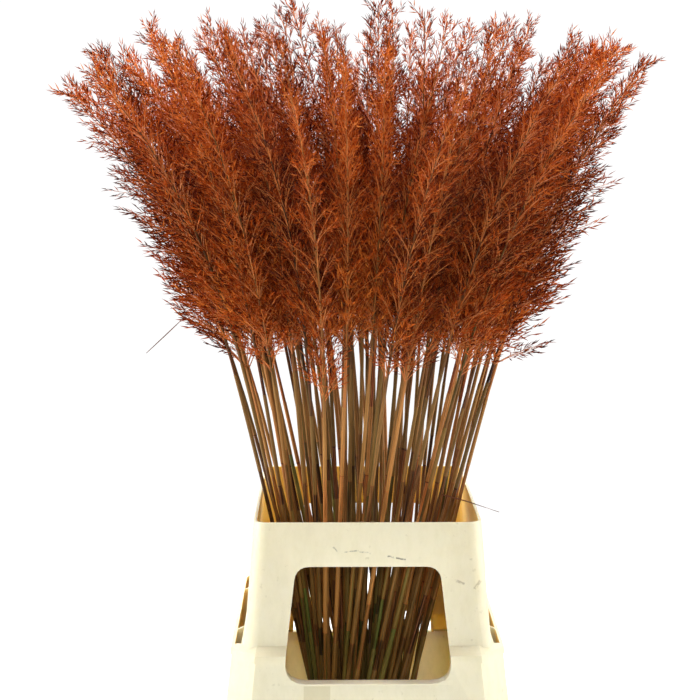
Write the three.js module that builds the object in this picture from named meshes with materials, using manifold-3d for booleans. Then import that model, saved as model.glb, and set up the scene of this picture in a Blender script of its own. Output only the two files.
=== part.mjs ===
// A flower-trade bucket with its carrying collar, holding one hundred cut stems of
// Korean feather reed grass whose plumes are dyed copper. Millimetres, +Z up, the
// origin in the middle of the bucket's flat underside, the short sides facing -Y and +Y.
import * as THREE from 'three';
import { mergeVertices } from 'three/addons/utils/BufferGeometryUtils.js';
import Module from 'manifold-3d';

const wasm = await Module();
wasm.setup();

// Shared sizes
const WALL = 3; // moulded wall of bucket and collar
const GAP = 0.3; // room between pieces that rest on each other
const DEPTH_OVER_WIDTH = 45; // the container is this much deeper than wide, each side of the axis
const PAST = 10; // how far a cutting shape runs on past the face that it opens
const OUTSIDE = 240; // from the axis, further out than any wall

// Bucket
const BUCKET = {
  rimZ: 244,
  floorZ: 6,
  baseHalf: 119.5, // half width just above the base bevel
  bevel: 4,
  slope: 0.1075, // how much the half width grows for each millimetre of height
  rimHalf: 151.4,
  rimDrop: 16,
  rimPlate: 4,
  chamfer: [27.5, 39],
};
const WATER_TOP = 66;
const WATER_HOLE = { room: 2.5, sides: 24 }; // the plain hole that the sheaf stands in

// Collar: an upright shell, and outside its lower half a wider skirt that caps the rim
const SHELL = { topZ: 460, endZ: 268, topHalf: 122, slope: 1 / 12, cornerRadius: 16 };
const SKIRT = {
  ledgeZ: 328,
  beadTop: 321,
  beadBottom: 313.5,
  beadOut: 1.4,
  bottomZ: 236,
  topHalf: 146.5,
  slope: 0.11,
  chamfer: [27.5, 39],
  ledgeEnd: { inShell: 7, chamfer: [8, 11], rise: 3.5 }, // where the ledge meets the shell
};
const WINDOW = { bottomZ: 291, topZ: 413, halfBottom: 91, halfTop: 77, radiusBottom: 25, radiusTop: 15 };
const HAND_SLOT = { bottomZ: 200, topZ: 272, halfBottom: 89, halfTop: 86, radiusBottom: 2, radiusTop: 14 };
const POCKET = { innerX: 136, outerX: 170, ribY: 90, ribThickness: 3.2, cornerY: 158, depthZ: 296 };

// Sheaf: every bunch is five culms held by a rubber band at the waist of the whole sheaf
const CULMS_PER_BUNCH = 5;
const RINGS = [
  { bunches: 1, radius: 0 },
  { bunches: 6, radius: 19 },
  { bunches: 13, radius: 38 },
];
const RING_TURN = 0.24; // of one bunch's share of the circle, for each ring further out
const BUNCH_TURN = 1.3; // from one bunch to the next, in radians, so that no two stand alike
const WAIST_Z = 62;
const SHEAF_WAIST_X = -4.5; // the sheaf stands a little to the left and leans to the right
const SHEAF_LEAN_X = 0.006;
const SHEAF_STRETCH_Y = 1.12;
const SHEAF_TWIST = 0.006; // per millimetre: how fast the bunches lean round the axis
const BUNCH_TWIST = 0.0095; // the same for the culms of one bunch
const CULM_OFFSET = 3.8; // from the middle of its bunch, at the waist
const CORE = { radius: 6.75, halfHeight: 5, sides: 6 }; // the culms pressed together under the band
const BAND = { inner: 7.15, outer: 7.8, halfHeight: 2.5 };

// Stem
const CULM_RADIUS = 2.6;
const PLUME_BASE_RADIUS = 1.7;
const TIP_RADIUS = 0.7;
const CULM_SIDES = 3;
const STRAIGHT_TO = 420; // above this length the culm starts to arch outwards
const PLUME_STARTS = 650; // along the stem, from the cut end
const PLUME_START_SPREAD = 60;
const STEM_LENGTH = 985;
const LONGER_OUTSIDE = 15;
const LENGTH_SPREAD = 45;
const ARCH = {
  slope: 0.56, // outward slope added at the tip of an outermost stem
  most: 1.4, // times that for the shortest stems,
  lessIfLong: 0.5, // less for longer ones
  spread: 0.2,
  power: 2.4,
  outwardPower: 0.8,
};
const STRAY = { slope: 0.19, turn: 0.5 };
const ALL_BEND_X = -0.1; // every plume also bends this much to the left
const STEP = 5; // arc length between points of a stem's path
const LAYOUT_SEED = 4000;
const LAYOUT_TRIES = 40;

// Plume: whorls of branches, placed as shares of its length
const WHORLS = [0.02, 0.22, 0.42, 0.62, 0.81];
const WHORL_HEIGHT = 8;
const BRANCH = {
  length: 70,
  shorterAtTip: 0.65,
  lean: 38, // degrees from the plume's axis
  uprightAtTip: 12,
  besideFace: 29, // degrees from the middle of the culm's side
  azimuthSpread: 20,
  leanSpread: 14,
  shortest: 0.78,
  lengthSpread: 0.4,
  skippedRoot: 2,
  radius: 1.6,
  clearance: 0.45,
};
// What a branch tries, in turn, to keep clear of the others: shares of its length, and degrees
const SHRINKS = [1, 0.88, 0.76, 0.64, 0.5, 0.38, 0.26];
const TURNS = [0, 7, -7, 14, -14];
const TILTS = [0, -8, 8];

// Dried leaf blades still on their culms: where a blade leaves the culm nearest to it, and its tip
const LEAVES = [
  { root: [83, -60, 467], tip: [143, -142, 466] },
  { root: [-165, 10, 580], tip: [-250, -8, 622] },
];
const LEAF_WIDTH = 9;
const CULM_TAPER_AT_LEAF = 0.85;

const degrees = Math.PI / 180;
const UP = new THREE.Vector3(0, 0, 1);
const PLASTIC = { color: '#e8e2c4', roughness: 0.5 };
const WATER = { color: '#a9b7a0', roughness: 0.1 };
const DYED_GRASS = { color: '#a5512a', roughness: 0.9 };
const RUBBER = { color: '#c9a05e', roughness: 0.7 };

// Solids from meshes and back

function toSolid(geometry) {
  const bare = geometry.clone();
  bare.deleteAttribute('normal');
  bare.deleteAttribute('uv');
  const merged = mergeVertices(bare, 1e-4);
  return new wasm.Manifold(
    new wasm.Mesh({
      numProp: 3,
      vertProperties: merged.attributes.position.array,
      triVerts: new Uint32Array(merged.index.array),
    }),
  );
}

function toGeometry(solid) {
  const { vertProperties, triVerts } = solid.getMesh();
  const geometry = new THREE.BufferGeometry();
  geometry.setAttribute('position', new THREE.BufferAttribute(Float32Array.from(vertProperties), 3));
  geometry.setIndex(new THREE.BufferAttribute(Uint32Array.from(triVerts), 1));
  return geometry;
}

const joined = (solids) => solids.reduce((sum, next) => sum.add(next));

function geometryOf(points, triangles) {
  const geometry = new THREE.BufferGeometry();
  const numbers = points.flatMap((p) => [p.x, p.y, p.z]);
  geometry.setAttribute('position', new THREE.Float32BufferAttribute(numbers, 3));
  geometry.setIndex(triangles.flat());
  return geometry;
}

// A closed solid through convex outlines with the same number of points, from the lowest up.
function loft(outlines) {
  const count = outlines[0].length;
  const triangles = [];
  for (let ring = 0; ring + 1 < outlines.length; ring++) {
    for (let i = 0; i < count; i++) {
      const a = ring * count + i;
      const b = ring * count + ((i + 1) % count);
      triangles.push([a, b, b + count], [a, b + count, a + count]);
    }
  }
  const top = (outlines.length - 1) * count;
  for (let i = 1; i + 1 < count; i++) {
    triangles.push([0, i + 1, i], [top, top + i, top + i + 1]);
  }
  return toSolid(geometryOf(outlines.flat(), triangles));
}

const CORNER_SIGNS = [[1, 1], [-1, 1], [-1, -1], [1, -1]];

function roundedOutline(half, radius, z, steps = 4) {
  return CORNER_SIGNS.flatMap(([sx, sy], corner) =>
    Array.from({ length: steps + 1 }, (_, i) => {
      const angle = (corner * 90 + (i * 90) / steps) * degrees;
      const x = sx * (half - radius) + radius * Math.cos(angle);
      const y = sy * (half + DEPTH_OVER_WIDTH - radius) + radius * Math.sin(angle);
      return new THREE.Vector3(x, y, z);
    }),
  );
}

function chamferedOutline(half, [cutX, cutY], z) {
  return CORNER_SIGNS.flatMap(([sx, sy]) => {
    const onSide = new THREE.Vector3(sx * half, sy * (half + DEPTH_OVER_WIDTH - cutY), z);
    const onFront = new THREE.Vector3(sx * (half - cutX), sy * (half + DEPTH_OVER_WIDTH), z);
    return sx * sy > 0 ? [onSide, onFront] : [onFront, onSide];
  });
}

// A tapered opening with rounded corners, cut from front to back along Y.
function openingPrism({ bottomZ, topZ, halfBottom, halfTop, radiusBottom, radiusTop }, grow = 0) {
  const low = bottomZ - grow;
  const high = topZ + grow;
  const wide = halfBottom + grow;
  const narrow = halfTop + grow;
  const rLow = radiusBottom + grow;
  const rHigh = radiusTop + grow;
  const lean = (wide - narrow) / (high - low);
  const shape = new THREE.Shape();
  shape.moveTo(-wide + rLow, low);
  shape.lineTo(wide - rLow, low);
  shape.quadraticCurveTo(wide, low, wide - lean * rLow, low + rLow);
  shape.lineTo(narrow + lean * rHigh, high - rHigh);
  shape.quadraticCurveTo(narrow, high, narrow - rHigh, high);
  shape.lineTo(-narrow + rHigh, high);
  shape.quadraticCurveTo(-narrow, high, -narrow - lean * rHigh, high - rHigh);
  shape.lineTo(-wide + lean * rLow, low + rLow);
  shape.quadraticCurveTo(-wide, low, -wide + rLow, low);
  const along = { depth: 2 * OUTSIDE, bevelEnabled: false, curveSegments: 5 };
  const prism = new THREE.ExtrudeGeometry(shape, along);
  prism.rotateX(90 * degrees);
  prism.translate(0, OUTSIDE, 0);
  return toSolid(prism);
}

function box([x0, x1], [y0, y1], [z0, z1]) {
  const block = new THREE.BoxGeometry(x1 - x0, y1 - y0, z1 - z0);
  block.translate((x0 + x1) / 2, (y0 + y1) / 2, (z0 + z1) / 2);
  return toSolid(block);
}

const onBothSides = ([x0, x1], ys, zs) => [box([x0, x1], ys, zs), box([-x1, -x0], ys, zs)];

// Bucket

const bucketHalf = (z) => BUCKET.baseHalf + (z - BUCKET.bevel) * BUCKET.slope;

function bucketSolid() {
  const { rimZ, floorZ, bevel, rimHalf, rimDrop, rimPlate, chamfer } = BUCKET;
  const outline = (half, z) => chamferedOutline(half, chamfer, z);
  const body = loft([
    outline(bucketHalf(0) - bevel, 0),
    outline(bucketHalf(bevel), bevel),
    outline(bucketHalf(rimZ), rimZ),
  ]);
  const rim = loft([outline(rimHalf, rimZ - rimDrop), outline(rimHalf, rimZ)]);
  const underRim = loft([
    outline(rimHalf - WALL, rimZ - rimDrop - PAST),
    outline(rimHalf - WALL, rimZ - rimPlate),
  ]).subtract(body);
  const inside = loft([floorZ, rimZ + PAST].map((z) => outline(bucketHalf(z) - WALL, z)));
  return joined([body, rim]).subtract(underRim).subtract(inside);
}

function waterSolid() {
  const low = BUCKET.floorZ + GAP;
  const outline = (z) => chamferedOutline(bucketHalf(z) - WALL - GAP, BUCKET.chamfer, z);
  const hole = new THREE.CylinderGeometry(1, 1, 2 * WATER_TOP, WATER_HOLE.sides);
  hole.rotateX(90 * degrees);
  const reach = sheafRadiusAt(low) + CULM_RADIUS + WATER_HOLE.room;
  hole.scale(reach, reach * SHEAF_STRETCH_Y, 1);
  hole.translate(SHEAF_WAIST_X, 0, WATER_TOP);
  return loft([outline(low), outline(WATER_TOP)]).subtract(toSolid(hole));
}

// Collar

const shellHalf = (z) => SHELL.topHalf + (SHELL.topZ - z) * SHELL.slope;
const skirtHalf = (z) => SKIRT.topHalf + (SKIRT.beadTop - z) * SKIRT.slope;

function collarSolid() {
  const { topZ, endZ, cornerRadius } = SHELL;
  const { ledgeZ, beadTop, beadBottom, beadOut, bottomZ, chamfer, ledgeEnd } = SKIRT;
  const shellRing = (z, inset = 0) => roundedOutline(shellHalf(z) - inset, cornerRadius - inset, z);
  const skirtRing = (z, out = 0) => chamferedOutline(skirtHalf(z) + out, chamfer, z);
  const shell = loft([shellRing(endZ), shellRing(topZ)]);
  const ledgeHalf = shellHalf(ledgeZ) - ledgeEnd.inShell;
  const ledgeTop = chamferedOutline(ledgeHalf, ledgeEnd.chamfer, ledgeZ + ledgeEnd.rise);
  const skirt = loft([
    skirtRing(bottomZ),
    skirtRing(beadBottom),
    skirtRing(beadBottom, beadOut),
    skirtRing(beadTop, beadOut),
    ledgeTop,
  ]);
  const hollow = loft([shellRing(bottomZ - PAST, WALL), shellRing(topZ + PAST, WALL)]);
  const underRibs = loft([skirtRing(bottomZ - PAST, -WALL), skirtRing(BUCKET.rimZ + GAP, -WALL)]);

  // Between shell and skirt the moulding is open from below, apart from ribs and the frames
  // of the openings.
  const { innerX, outerX, ribY, ribThickness, cornerY, depthZ } = POCKET;
  const acrossPocket = [innerX, outerX];
  const ribs = [-ribY, ribY].flatMap((y) => {
    const alongY = [y - ribThickness / 2, y + ribThickness / 2];
    return onBothSides(acrossPocket, alongY, [bottomZ, ledgeZ + PAST]);
  });
  const frames = [openingPrism(WINDOW, WALL), openingPrism(HAND_SLOT, WALL)];
  const kept = joined([...ribs, ...frames]).subtract(hollow);
  const between = loft([skirtRing(bottomZ - PAST, -WALL), skirtRing(beadTop - WALL, -WALL)])
    .subtract(shell)
    .subtract(kept);

  // Along the long sides the ledge is open too, so that pockets show between the ribs.
  const heights = [depthZ, ledgeZ + PAST];
  const skirtInside = loft(heights.map((z) => chamferedOutline(SKIRT.topHalf - WALL, chamfer, z)));
  const pockets = joined(onBothSides(acrossPocket, [-cornerY, cornerY], heights))
    .intersect(skirtInside)
    .subtract(shell)
    .subtract(joined(ribs));

  return joined([shell, skirt])
    .subtract(hollow)
    .subtract(underRibs)
    .subtract(between)
    .subtract(pockets)
    .subtract(openingPrism(WINDOW))
    .subtract(openingPrism(HAND_SLOT));
}

// Stems

// A small seeded generator: the same seed always draws the same numbers from 0 to 1.
function seeded(seed) {
  let state = seed >>> 0;
  return () => {
    state = (state + 0x6d2b79f5) >>> 0;
    let mixed = Math.imul(state ^ (state >>> 15), state | 1);
    mixed = (mixed ^ (mixed + Math.imul(mixed ^ (mixed >>> 7), mixed | 61))) >>> 0;
    return ((mixed ^ (mixed >>> 14)) >>> 0) / 4294967296;
  };
}

const quarterTurn = (v) => new THREE.Vector2(-v.y, v.x);

// Every culm is a straight line that leans round the sheaf's axis, as in a spiralled bouquet,
// so the sheaf has its waist at the bands and no two culms meet.
function lineThrough(bunchCentre, offset) {
  const lean = quarterTurn(bunchCentre)
    .multiplyScalar(SHEAF_TWIST)
    .add(quarterTurn(offset).multiplyScalar(BUNCH_TWIST));
  const waist = bunchCentre.clone().add(offset);
  return {
    at: (z) => {
      const rise = z - WAIST_Z;
      const x = SHEAF_WAIST_X + SHEAF_LEAN_X * rise + waist.x + lean.x * rise;
      return new THREE.Vector3(x, (waist.y + lean.y * rise) * SHEAF_STRETCH_Y, z);
    },
    slope: new THREE.Vector3(SHEAF_LEAN_X + lean.x, lean.y * SHEAF_STRETCH_Y, 1),
    waist,
  };
}

function sheafRadiusAt(z) {
  const rise = z - WAIST_Z;
  const spread = (radius, twist) => Math.hypot(radius, radius * twist * rise);
  return spread(RINGS.at(-1).radius, SHEAF_TWIST) + spread(CULM_OFFSET, BUNCH_TWIST);
}

function bunchCentres() {
  return RINGS.flatMap(({ bunches, radius }, ring) =>
    Array.from({ length: bunches }, (_, i) => {
      const angle = ((i + RING_TURN * ring) / bunches) * 2 * Math.PI;
      return new THREE.Vector2(radius * Math.cos(angle), radius * Math.sin(angle));
    }),
  );
}

// Points every STEP millimetres from the cut end on the bucket's floor to the tip of the plume.
function stemPath(line, draw) {
  const outermost = RINGS.at(-1).radius + CULM_OFFSET;
  const outwardness = line.waist.length() / outermost;
  const vigour = draw();
  const length = STEM_LENGTH + LONGER_OUTSIDE * outwardness ** 2 + (vigour - 0.5) * LENGTH_SPREAD;
  const share = ARCH.most - ARCH.lessIfLong * vigour - ARCH.spread * draw();
  const arch = ARCH.slope * share * outwardness ** ARCH.outwardPower;
  const strayAngle = draw() * 2 * Math.PI;
  const stray = STRAY.slope * draw();
  const turn = (draw() - 0.5) * STRAY.turn;
  const plumeBase = PLUME_STARTS + (draw() - 0.5) * PLUME_START_SPREAD;
  const floor = line.at(BUCKET.floorZ + GAP);
  const far = line.at(STEM_LENGTH);
  const outward = new THREE.Vector3(far.x, far.y, 0).normalize().applyAxisAngle(UP, turn);
  const strayWay = new THREE.Vector3(Math.cos(strayAngle), Math.sin(strayAngle), 0);
  const points = [floor];
  for (let s = 0; s < length; s += STEP) {
    const bend = Math.max(0, (s - STRAIGHT_TO) / (length - STRAIGHT_TO)) ** ARCH.power;
    const way = line.slope.clone().addScaledVector(outward, arch * bend);
    way.addScaledVector(strayWay, stray * bend);
    way.x += ALL_BEND_X * bend;
    points.push(points.at(-1).clone().addScaledVector(way.normalize(), STEP));
  }
  return { points, plumeBase, length: (points.length - 1) * STEP };
}

function pointAlong({ points }, s) {
  const i = Math.min(Math.floor(s / STEP), points.length - 2);
  return points[i].clone().lerp(points[i + 1], s / STEP - i);
}

function directionAlong({ points }, s) {
  const i = Math.min(Math.floor(s / STEP), points.length - 2);
  return points[i + 1].clone().sub(points[i]).normalize();
}

// Straight runs already placed, kept so that a new branch can be bent clear of them.
const placed = [];

function shortestGap(p, q, other) {
  const u = q.clone().sub(p);
  const v = other.to.clone().sub(other.from);
  const w = p.clone().sub(other.from);
  const a = u.dot(u);
  const b = u.dot(v);
  const c = v.dot(v);
  const d = u.dot(w);
  const e = v.dot(w);
  const clamp = (x) => Math.min(1, Math.max(0, x));
  let t = clamp((a * e - b * d) / Math.max(a * c - b * b, 1e-9));
  const s = clamp((b * t - d) / a);
  t = clamp((b * s + e) / c);
  const apart = w.addScaledVector(u, s).addScaledVector(v, -t).length();
  return { apart, s, t };
}

// Each straight run is a from, a to and its radius at either end.
function isClear({ from, to, radiusFrom }, own) {
  const middle = from.clone().lerp(to, 0.5);
  const half = from.distanceTo(to) / 2 + 2 * CULM_RADIUS + BRANCH.clearance;
  return placed.every((other) => {
    if (other.middle.distanceTo(middle) > half + other.half) return true;
    if (other.stem === own.stem && (other.isAxis || other.whorl === own.whorl)) return true;
    const { apart, s, t } = shortestGap(from, to, other);
    const room = radiusFrom * (1 - s) + other.radiusFrom + (other.radiusTo - other.radiusFrom) * t;
    return apart > room + BRANCH.clearance;
  });
}

function place({ from, to, radiusFrom, radiusTo }, owner) {
  const middle = from.clone().lerp(to, 0.5);
  placed.push({ from, to, radiusFrom, radiusTo, middle, half: from.distanceTo(to) / 2, ...owner });
}

// The rings of a stem above its band: two close rings for each whorl of branches.
function stemRings(path) {
  const { plumeBase, length } = path;
  const plumeLength = length - plumeBase;
  const radiusAt = (s) => THREE.MathUtils.lerp(PLUME_BASE_RADIUS, TIP_RADIUS, (s - plumeBase) / plumeLength);
  return WHORLS.flatMap((share) => {
    const s = plumeBase + share * plumeLength;
    return [s, s + WHORL_HEIGHT];
  }).map((s) => ({ radius: radiusAt(s), centre: pointAlong(path, s), along: directionAlong(path, s) }));
}

function ringPoints(centre, across, over, radius) {
  return Array.from({ length: CULM_SIDES }, (_, k) => {
    const angle = ((k + 0.5) * 2 * Math.PI) / CULM_SIDES;
    return centre
      .clone()
      .addScaledVector(across, radius * Math.cos(angle))
      .addScaledVector(over, radius * Math.sin(angle));
  });
}

// The mesh of one bunch, grown piece by piece from shared points, so that it is a single closed body.
class Body {
  points = [];
  triangles = [];

  addRing(ring) {
    this.points.push(...ring);
    return this.points.length - ring.length;
  }

  // Side faces between two rings of the same count, given by their first points, the lower first.
  addSides(low, high, count) {
    for (let k = 0; k < count; k++) {
      const next = (k + 1) % count;
      this.triangles.push([low + k, low + next, high + next], [low + k, high + next, high + k]);
    }
  }

  // A triangle of the surface drawn out to a point.
  addSpike([a, b, c], tip) {
    const apex = this.addRing([tip]);
    this.triangles.push([a, b, apex], [b, c, apex], [c, a, apex]);
  }
}

// The three edges and the middle of a spike, which is as wide at its root as the triangle it grows from.
function spikeRuns(body, corners, start, tip) {
  const edges = corners.map((i) => ({ from: body.points[i], to: tip, radiusFrom: 0.1, radiusTo: 0.1 }));
  return [...edges, { from: start, to: tip, radiusFrom: BRANCH.radius, radiusTo: 0.1 }];
}

// Draws a triangle of a whorl out into a branch, shortened or turned until it is clear of all others.
function raiseBranch(body, corners, { azimuth, lean, length, ring, owner }) {
  const root = corners.reduce((sum, i) => sum.add(body.points[i]), new THREE.Vector3()).divideScalar(3);
  for (const shrink of SHRINKS) {
    for (const turn of TURNS) {
      for (const tilt of TILTS) {
        const around = (azimuth + turn) * degrees;
        const away = (lean + tilt) * degrees;
        const way = ring.along
          .clone()
          .multiplyScalar(Math.cos(away))
          .addScaledVector(ring.across, Math.sin(away) * Math.cos(around))
          .addScaledVector(ring.over, Math.sin(away) * Math.sin(around));
        const tip = root.clone().addScaledVector(way, length * shrink);
        const start = root.clone().addScaledVector(way, BRANCH.skippedRoot);
        const runs = spikeRuns(body, corners, start, tip);
        if (!runs.every((run) => isClear(run, owner))) continue;
        runs.forEach((run) => place(run, owner));
        body.addSpike(corners, tip);
        return;
      }
    }
  }
  body.triangles.push(corners);
}

// Below its plume a culm is one straight run, so its point at any height is found on that run.
function culmPoint({ line, rings }, z) {
  const from = line.at(WAIST_Z);
  const to = rings[0].centre;
  return from.clone().lerp(to, (z - from.z) / (to.z - from.z));
}

// A dried leaf blade drawn out of the side of the culm that faces its tip.
function growLeaf(body, stem, { z, tip }, below) {
  const centre = culmPoint(stem, z);
  const over = new THREE.Vector3(-stem.facing.y, stem.facing.x, 0);
  const rings = [z, z + LEAF_WIDTH].map((height) =>
    body.addRing(ringPoints(culmPoint(stem, height), stem.facing, over, CULM_RADIUS * CULM_TAPER_AT_LEAF)),
  );
  body.addSides(below, rings[0], CULM_SIDES);
  const outward = tip.clone().sub(centre);
  const sides = Array.from({ length: CULM_SIDES }, (_, k) => {
    const next = (k + 1) % CULM_SIDES;
    const middle = body.points[rings[0] + k].clone().add(body.points[rings[0] + next]).divideScalar(2);
    return { k, next, toward: middle.sub(centre).dot(outward) };
  });
  const leafSide = sides.reduce((best, side) => (side.toward > best.toward ? side : best));
  for (const { k, next } of sides) {
    const lower = [rings[0] + k, rings[0] + next, rings[1] + next];
    body.triangles.push([rings[0] + k, rings[1] + next, rings[1] + k]);
    if (k === leafSide.k) body.addSpike(lower, tip);
    else body.triangles.push(lower);
  }
  return rings[1];
}

function growPlume(body, { path, rings, draw, index, facing }, culmTop) {
  const across = facing.clone();
  let below = culmTop;
  rings.forEach((ring, i) => {
    const isLower = i % 2 === 0;
    const whorl = Math.floor(i / 2);
    if (isLower && whorl > 0) across.applyAxisAngle(ring.along, -60 * degrees);
    across.addScaledVector(ring.along, -across.dot(ring.along)).normalize();
    ring.across = across.clone();
    ring.over = new THREE.Vector3().crossVectors(ring.along, ring.across);
    const first = body.addRing(ringPoints(ring.centre, ring.across, ring.over, ring.radius));
    if (isLower) {
      body.addSides(below, first, CULM_SIDES);
    } else {
      const share = whorl / WHORLS.length;
      const reach = BRANCH.length * (1 - BRANCH.shorterAtTip * share ** 1.3);
      for (let k = 0; k < CULM_SIDES; k++) {
        const next = (k + 1) % CULM_SIDES;
        const middle = 120 + 120 * k;
        const halves = [
          { corners: [below + k, below + next, first + next], side: BRANCH.besideFace },
          { corners: [below + k, first + next, first + k], side: -BRANCH.besideFace },
        ];
        for (const { corners, side } of halves) {
          raiseBranch(body, corners, {
            azimuth: middle + side + (draw() - 0.5) * BRANCH.azimuthSpread,
            lean: BRANCH.lean - BRANCH.uprightAtTip * share + (draw() - 0.5) * BRANCH.leanSpread,
            length: reach * (BRANCH.shortest + BRANCH.lengthSpread * draw()),
            ring,
            owner: { stem: index, whorl },
          });
        }
      }
    }
    below = first;
  });
  const tip = body.addRing([pointAlong(path, path.length)]);
  for (let k = 0; k < CULM_SIDES; k++) {
    body.triangles.push([below + k, below + ((k + 1) % CULM_SIDES), tip]);
  }
}

// The frame of a bunch at its waist, with z along the bunch.
function bunchFrame(centre) {
  const line = lineThrough(centre, new THREE.Vector2());
  const normal = line.slope.clone().normalize();
  const turn = new THREE.Quaternion().setFromUnitVectors(UP, normal);
  return { position: line.at(WAIST_Z), normal, turn };
}

function bunchGeometry(centre, stems) {
  const { position, normal, turn } = bunchFrame(centre);
  const body = new Body();
  const onFace = (x, y, height) => new THREE.Vector3(x, y, height).applyQuaternion(turn).add(position);
  const axisX = new THREE.Vector3(1, 0, 0).applyQuaternion(turn);
  const axisY = new THREE.Vector3(0, 1, 0).applyQuaternion(turn);
  const rims = [];
  const culmRings = [];
  for (const height of [-CORE.halfHeight, CORE.halfHeight]) {
    const outline = Array.from({ length: CORE.sides }, (_, i) => {
      const angle = (i / CORE.sides) * 2 * Math.PI;
      const flat = new THREE.Vector2(Math.cos(angle), SHEAF_STRETCH_Y * Math.sin(angle));
      return flat.multiplyScalar(CORE.radius);
    });
    const holes = stems.map(({ line, angle }) => {
      const along = line.slope.clone().normalize();
      const waist = line.at(WAIST_Z).sub(position);
      const middle = waist.addScaledVector(along, (height - waist.dot(normal)) / along.dot(normal));
      const across = new THREE.Vector3(Math.cos(angle), Math.sin(angle), 0);
      const over = new THREE.Vector3(-Math.sin(angle), Math.cos(angle), 0);
      const local = new THREE.Vector3(middle.dot(axisX), middle.dot(axisY), 0);
      return ringPoints(local, across, over, CULM_RADIUS).map(({ x, y }) => new THREE.Vector2(x, y));
    });
    const first = body.addRing([outline, ...holes].flat().map(({ x, y }) => onFace(x, y, height)));
    rims.push(first);
    culmRings.push(stems.map((_, j) => first + CORE.sides + CULM_SIDES * j));
    for (const [a, b, c] of THREE.ShapeUtils.triangulateShape(outline, holes)) {
      const face = [first + a, first + b, first + c];
      body.triangles.push(height > 0 ? face : face.reverse());
    }
  }
  body.addSides(rims[0], rims[1], CORE.sides);
  stems.forEach((stem, j) => {
    const { line, facing } = stem;
    const over = new THREE.Vector3(-facing.y, facing.x, 0);
    const cut = ringPoints(line.at(BUCKET.floorZ + GAP), facing, over, CULM_RADIUS);
    const foot = body.addRing(cut);
    body.triangles.push([foot, foot + 2, foot + 1]);
    body.addSides(foot, culmRings[0][j], CULM_SIDES);
    const culmTop = culmRings[1][j];
    growPlume(body, stem, stem.leaf ? growLeaf(body, stem, stem.leaf, culmTop) : culmTop);
  });
  return geometryOf(body.points, body.triangles);
}

function bandGeometry() {
  const { inner, outer, halfHeight } = BAND;
  const profile = [
    [inner, -halfHeight],
    [outer, -halfHeight],
    [outer, halfHeight],
    [inner, halfHeight],
    [inner, -halfHeight],
  ].map(([x, y]) => new THREE.Vector2(x, y));
  const ring = new THREE.LatheGeometry(profile, CORE.sides);
  ring.rotateX(90 * degrees);
  ring.rotateZ(90 * degrees);
  ring.scale(1, SHEAF_STRETCH_Y, 1);
  return ring;
}

// Assembly

const object = new THREE.Group();

function addMesh(name, geometry, look) {
  const mesh = new THREE.Mesh(geometry, new THREE.MeshStandardMaterial({ metalness: 0, ...look }));
  mesh.name = name;
  object.add(mesh);
  return mesh;
}

addMesh('bucket', toGeometry(bucketSolid()), PLASTIC);
addMesh('collar', toGeometry(collarSolid()), PLASTIC);
addMesh('water', toGeometry(waterSolid()), WATER);

function axisRuns({ line, path, rings }) {
  const foot = { centre: line.at(BUCKET.floorZ), radius: CULM_RADIUS };
  const tip = { centre: pointAlong(path, path.length), radius: 0 };
  const stations = [foot, ...rings, tip];
  return stations.slice(1).map((to, i) => {
    const from = stations[i];
    return { from: from.centre, to: to.centre, radiusFrom: from.radius, radiusTo: to.radius };
  });
}

// Bends a stem's plume until its axis is clear of the stems before it.
function settledStem(stem) {
  for (let attempt = 1; ; attempt++) {
    const path = stemPath(stem.line, stem.draw);
    const settled = { ...stem, path, rings: stemRings(path) };
    const runs = axisRuns(settled);
    const isFree = runs.slice(1).every((run) => isClear(run, { stem: stem.index }));
    if (!isFree && attempt < LAYOUT_TRIES) continue;
    runs.forEach((run) => place(run, { stem: stem.index, isAxis: true }));
    return settled;
  }
}

// The culms and plume axes are placed first, so that leaves and branches keep clear of all of them.
const bunches = bunchCentres().map((centre, b) => {
  const stems = Array.from({ length: CULMS_PER_BUNCH }, (_, j) => {
    const index = b * CULMS_PER_BUNCH + j;
    const angle = b * BUNCH_TURN + (j / CULMS_PER_BUNCH) * 2 * Math.PI;
    const facing = new THREE.Vector3(Math.cos(angle), Math.sin(angle), 0);
    const line = lineThrough(centre, new THREE.Vector2(facing.x, facing.y).multiplyScalar(CULM_OFFSET));
    return settledStem({ index, angle, facing, line, draw: seeded(LAYOUT_SEED + index) });
  });
  return { centre, stems };
});

const allStems = bunches.flatMap(({ stems }) => stems);

for (const leaf of LEAVES) {
  const wanted = new THREE.Vector3(...leaf.root);
  const tip = new THREE.Vector3(...leaf.tip);
  const runs = allStems.map((stem) => {
    const from = culmPoint(stem, wanted.z);
    return { stem, from, to: tip, radiusFrom: LEAF_WIDTH / 2, radiusTo: 0.1 };
  });
  const free = runs.filter((run) => isClear(run, { stem: run.stem.index }));
  const off = ({ from }) => from.distanceTo(wanted);
  const nearest = free.reduce((best, run) => (off(run) < off(best) ? run : best));
  nearest.stem.leaf = { z: wanted.z, tip };
  place(nearest, { stem: nearest.stem.index });
}

bunches.forEach(({ centre, stems }, b) => {
  const number = String(b + 1).padStart(2, '0');
  addMesh(`bunch_${number}`, bunchGeometry(centre, stems), DYED_GRASS);
  const band = addMesh(`band_${number}`, bandGeometry(), RUBBER);
  const { position, turn } = bunchFrame(centre);
  band.position.copy(position);
  band.quaternion.copy(turn);
});

export default object;
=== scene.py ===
import math
import random

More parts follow.
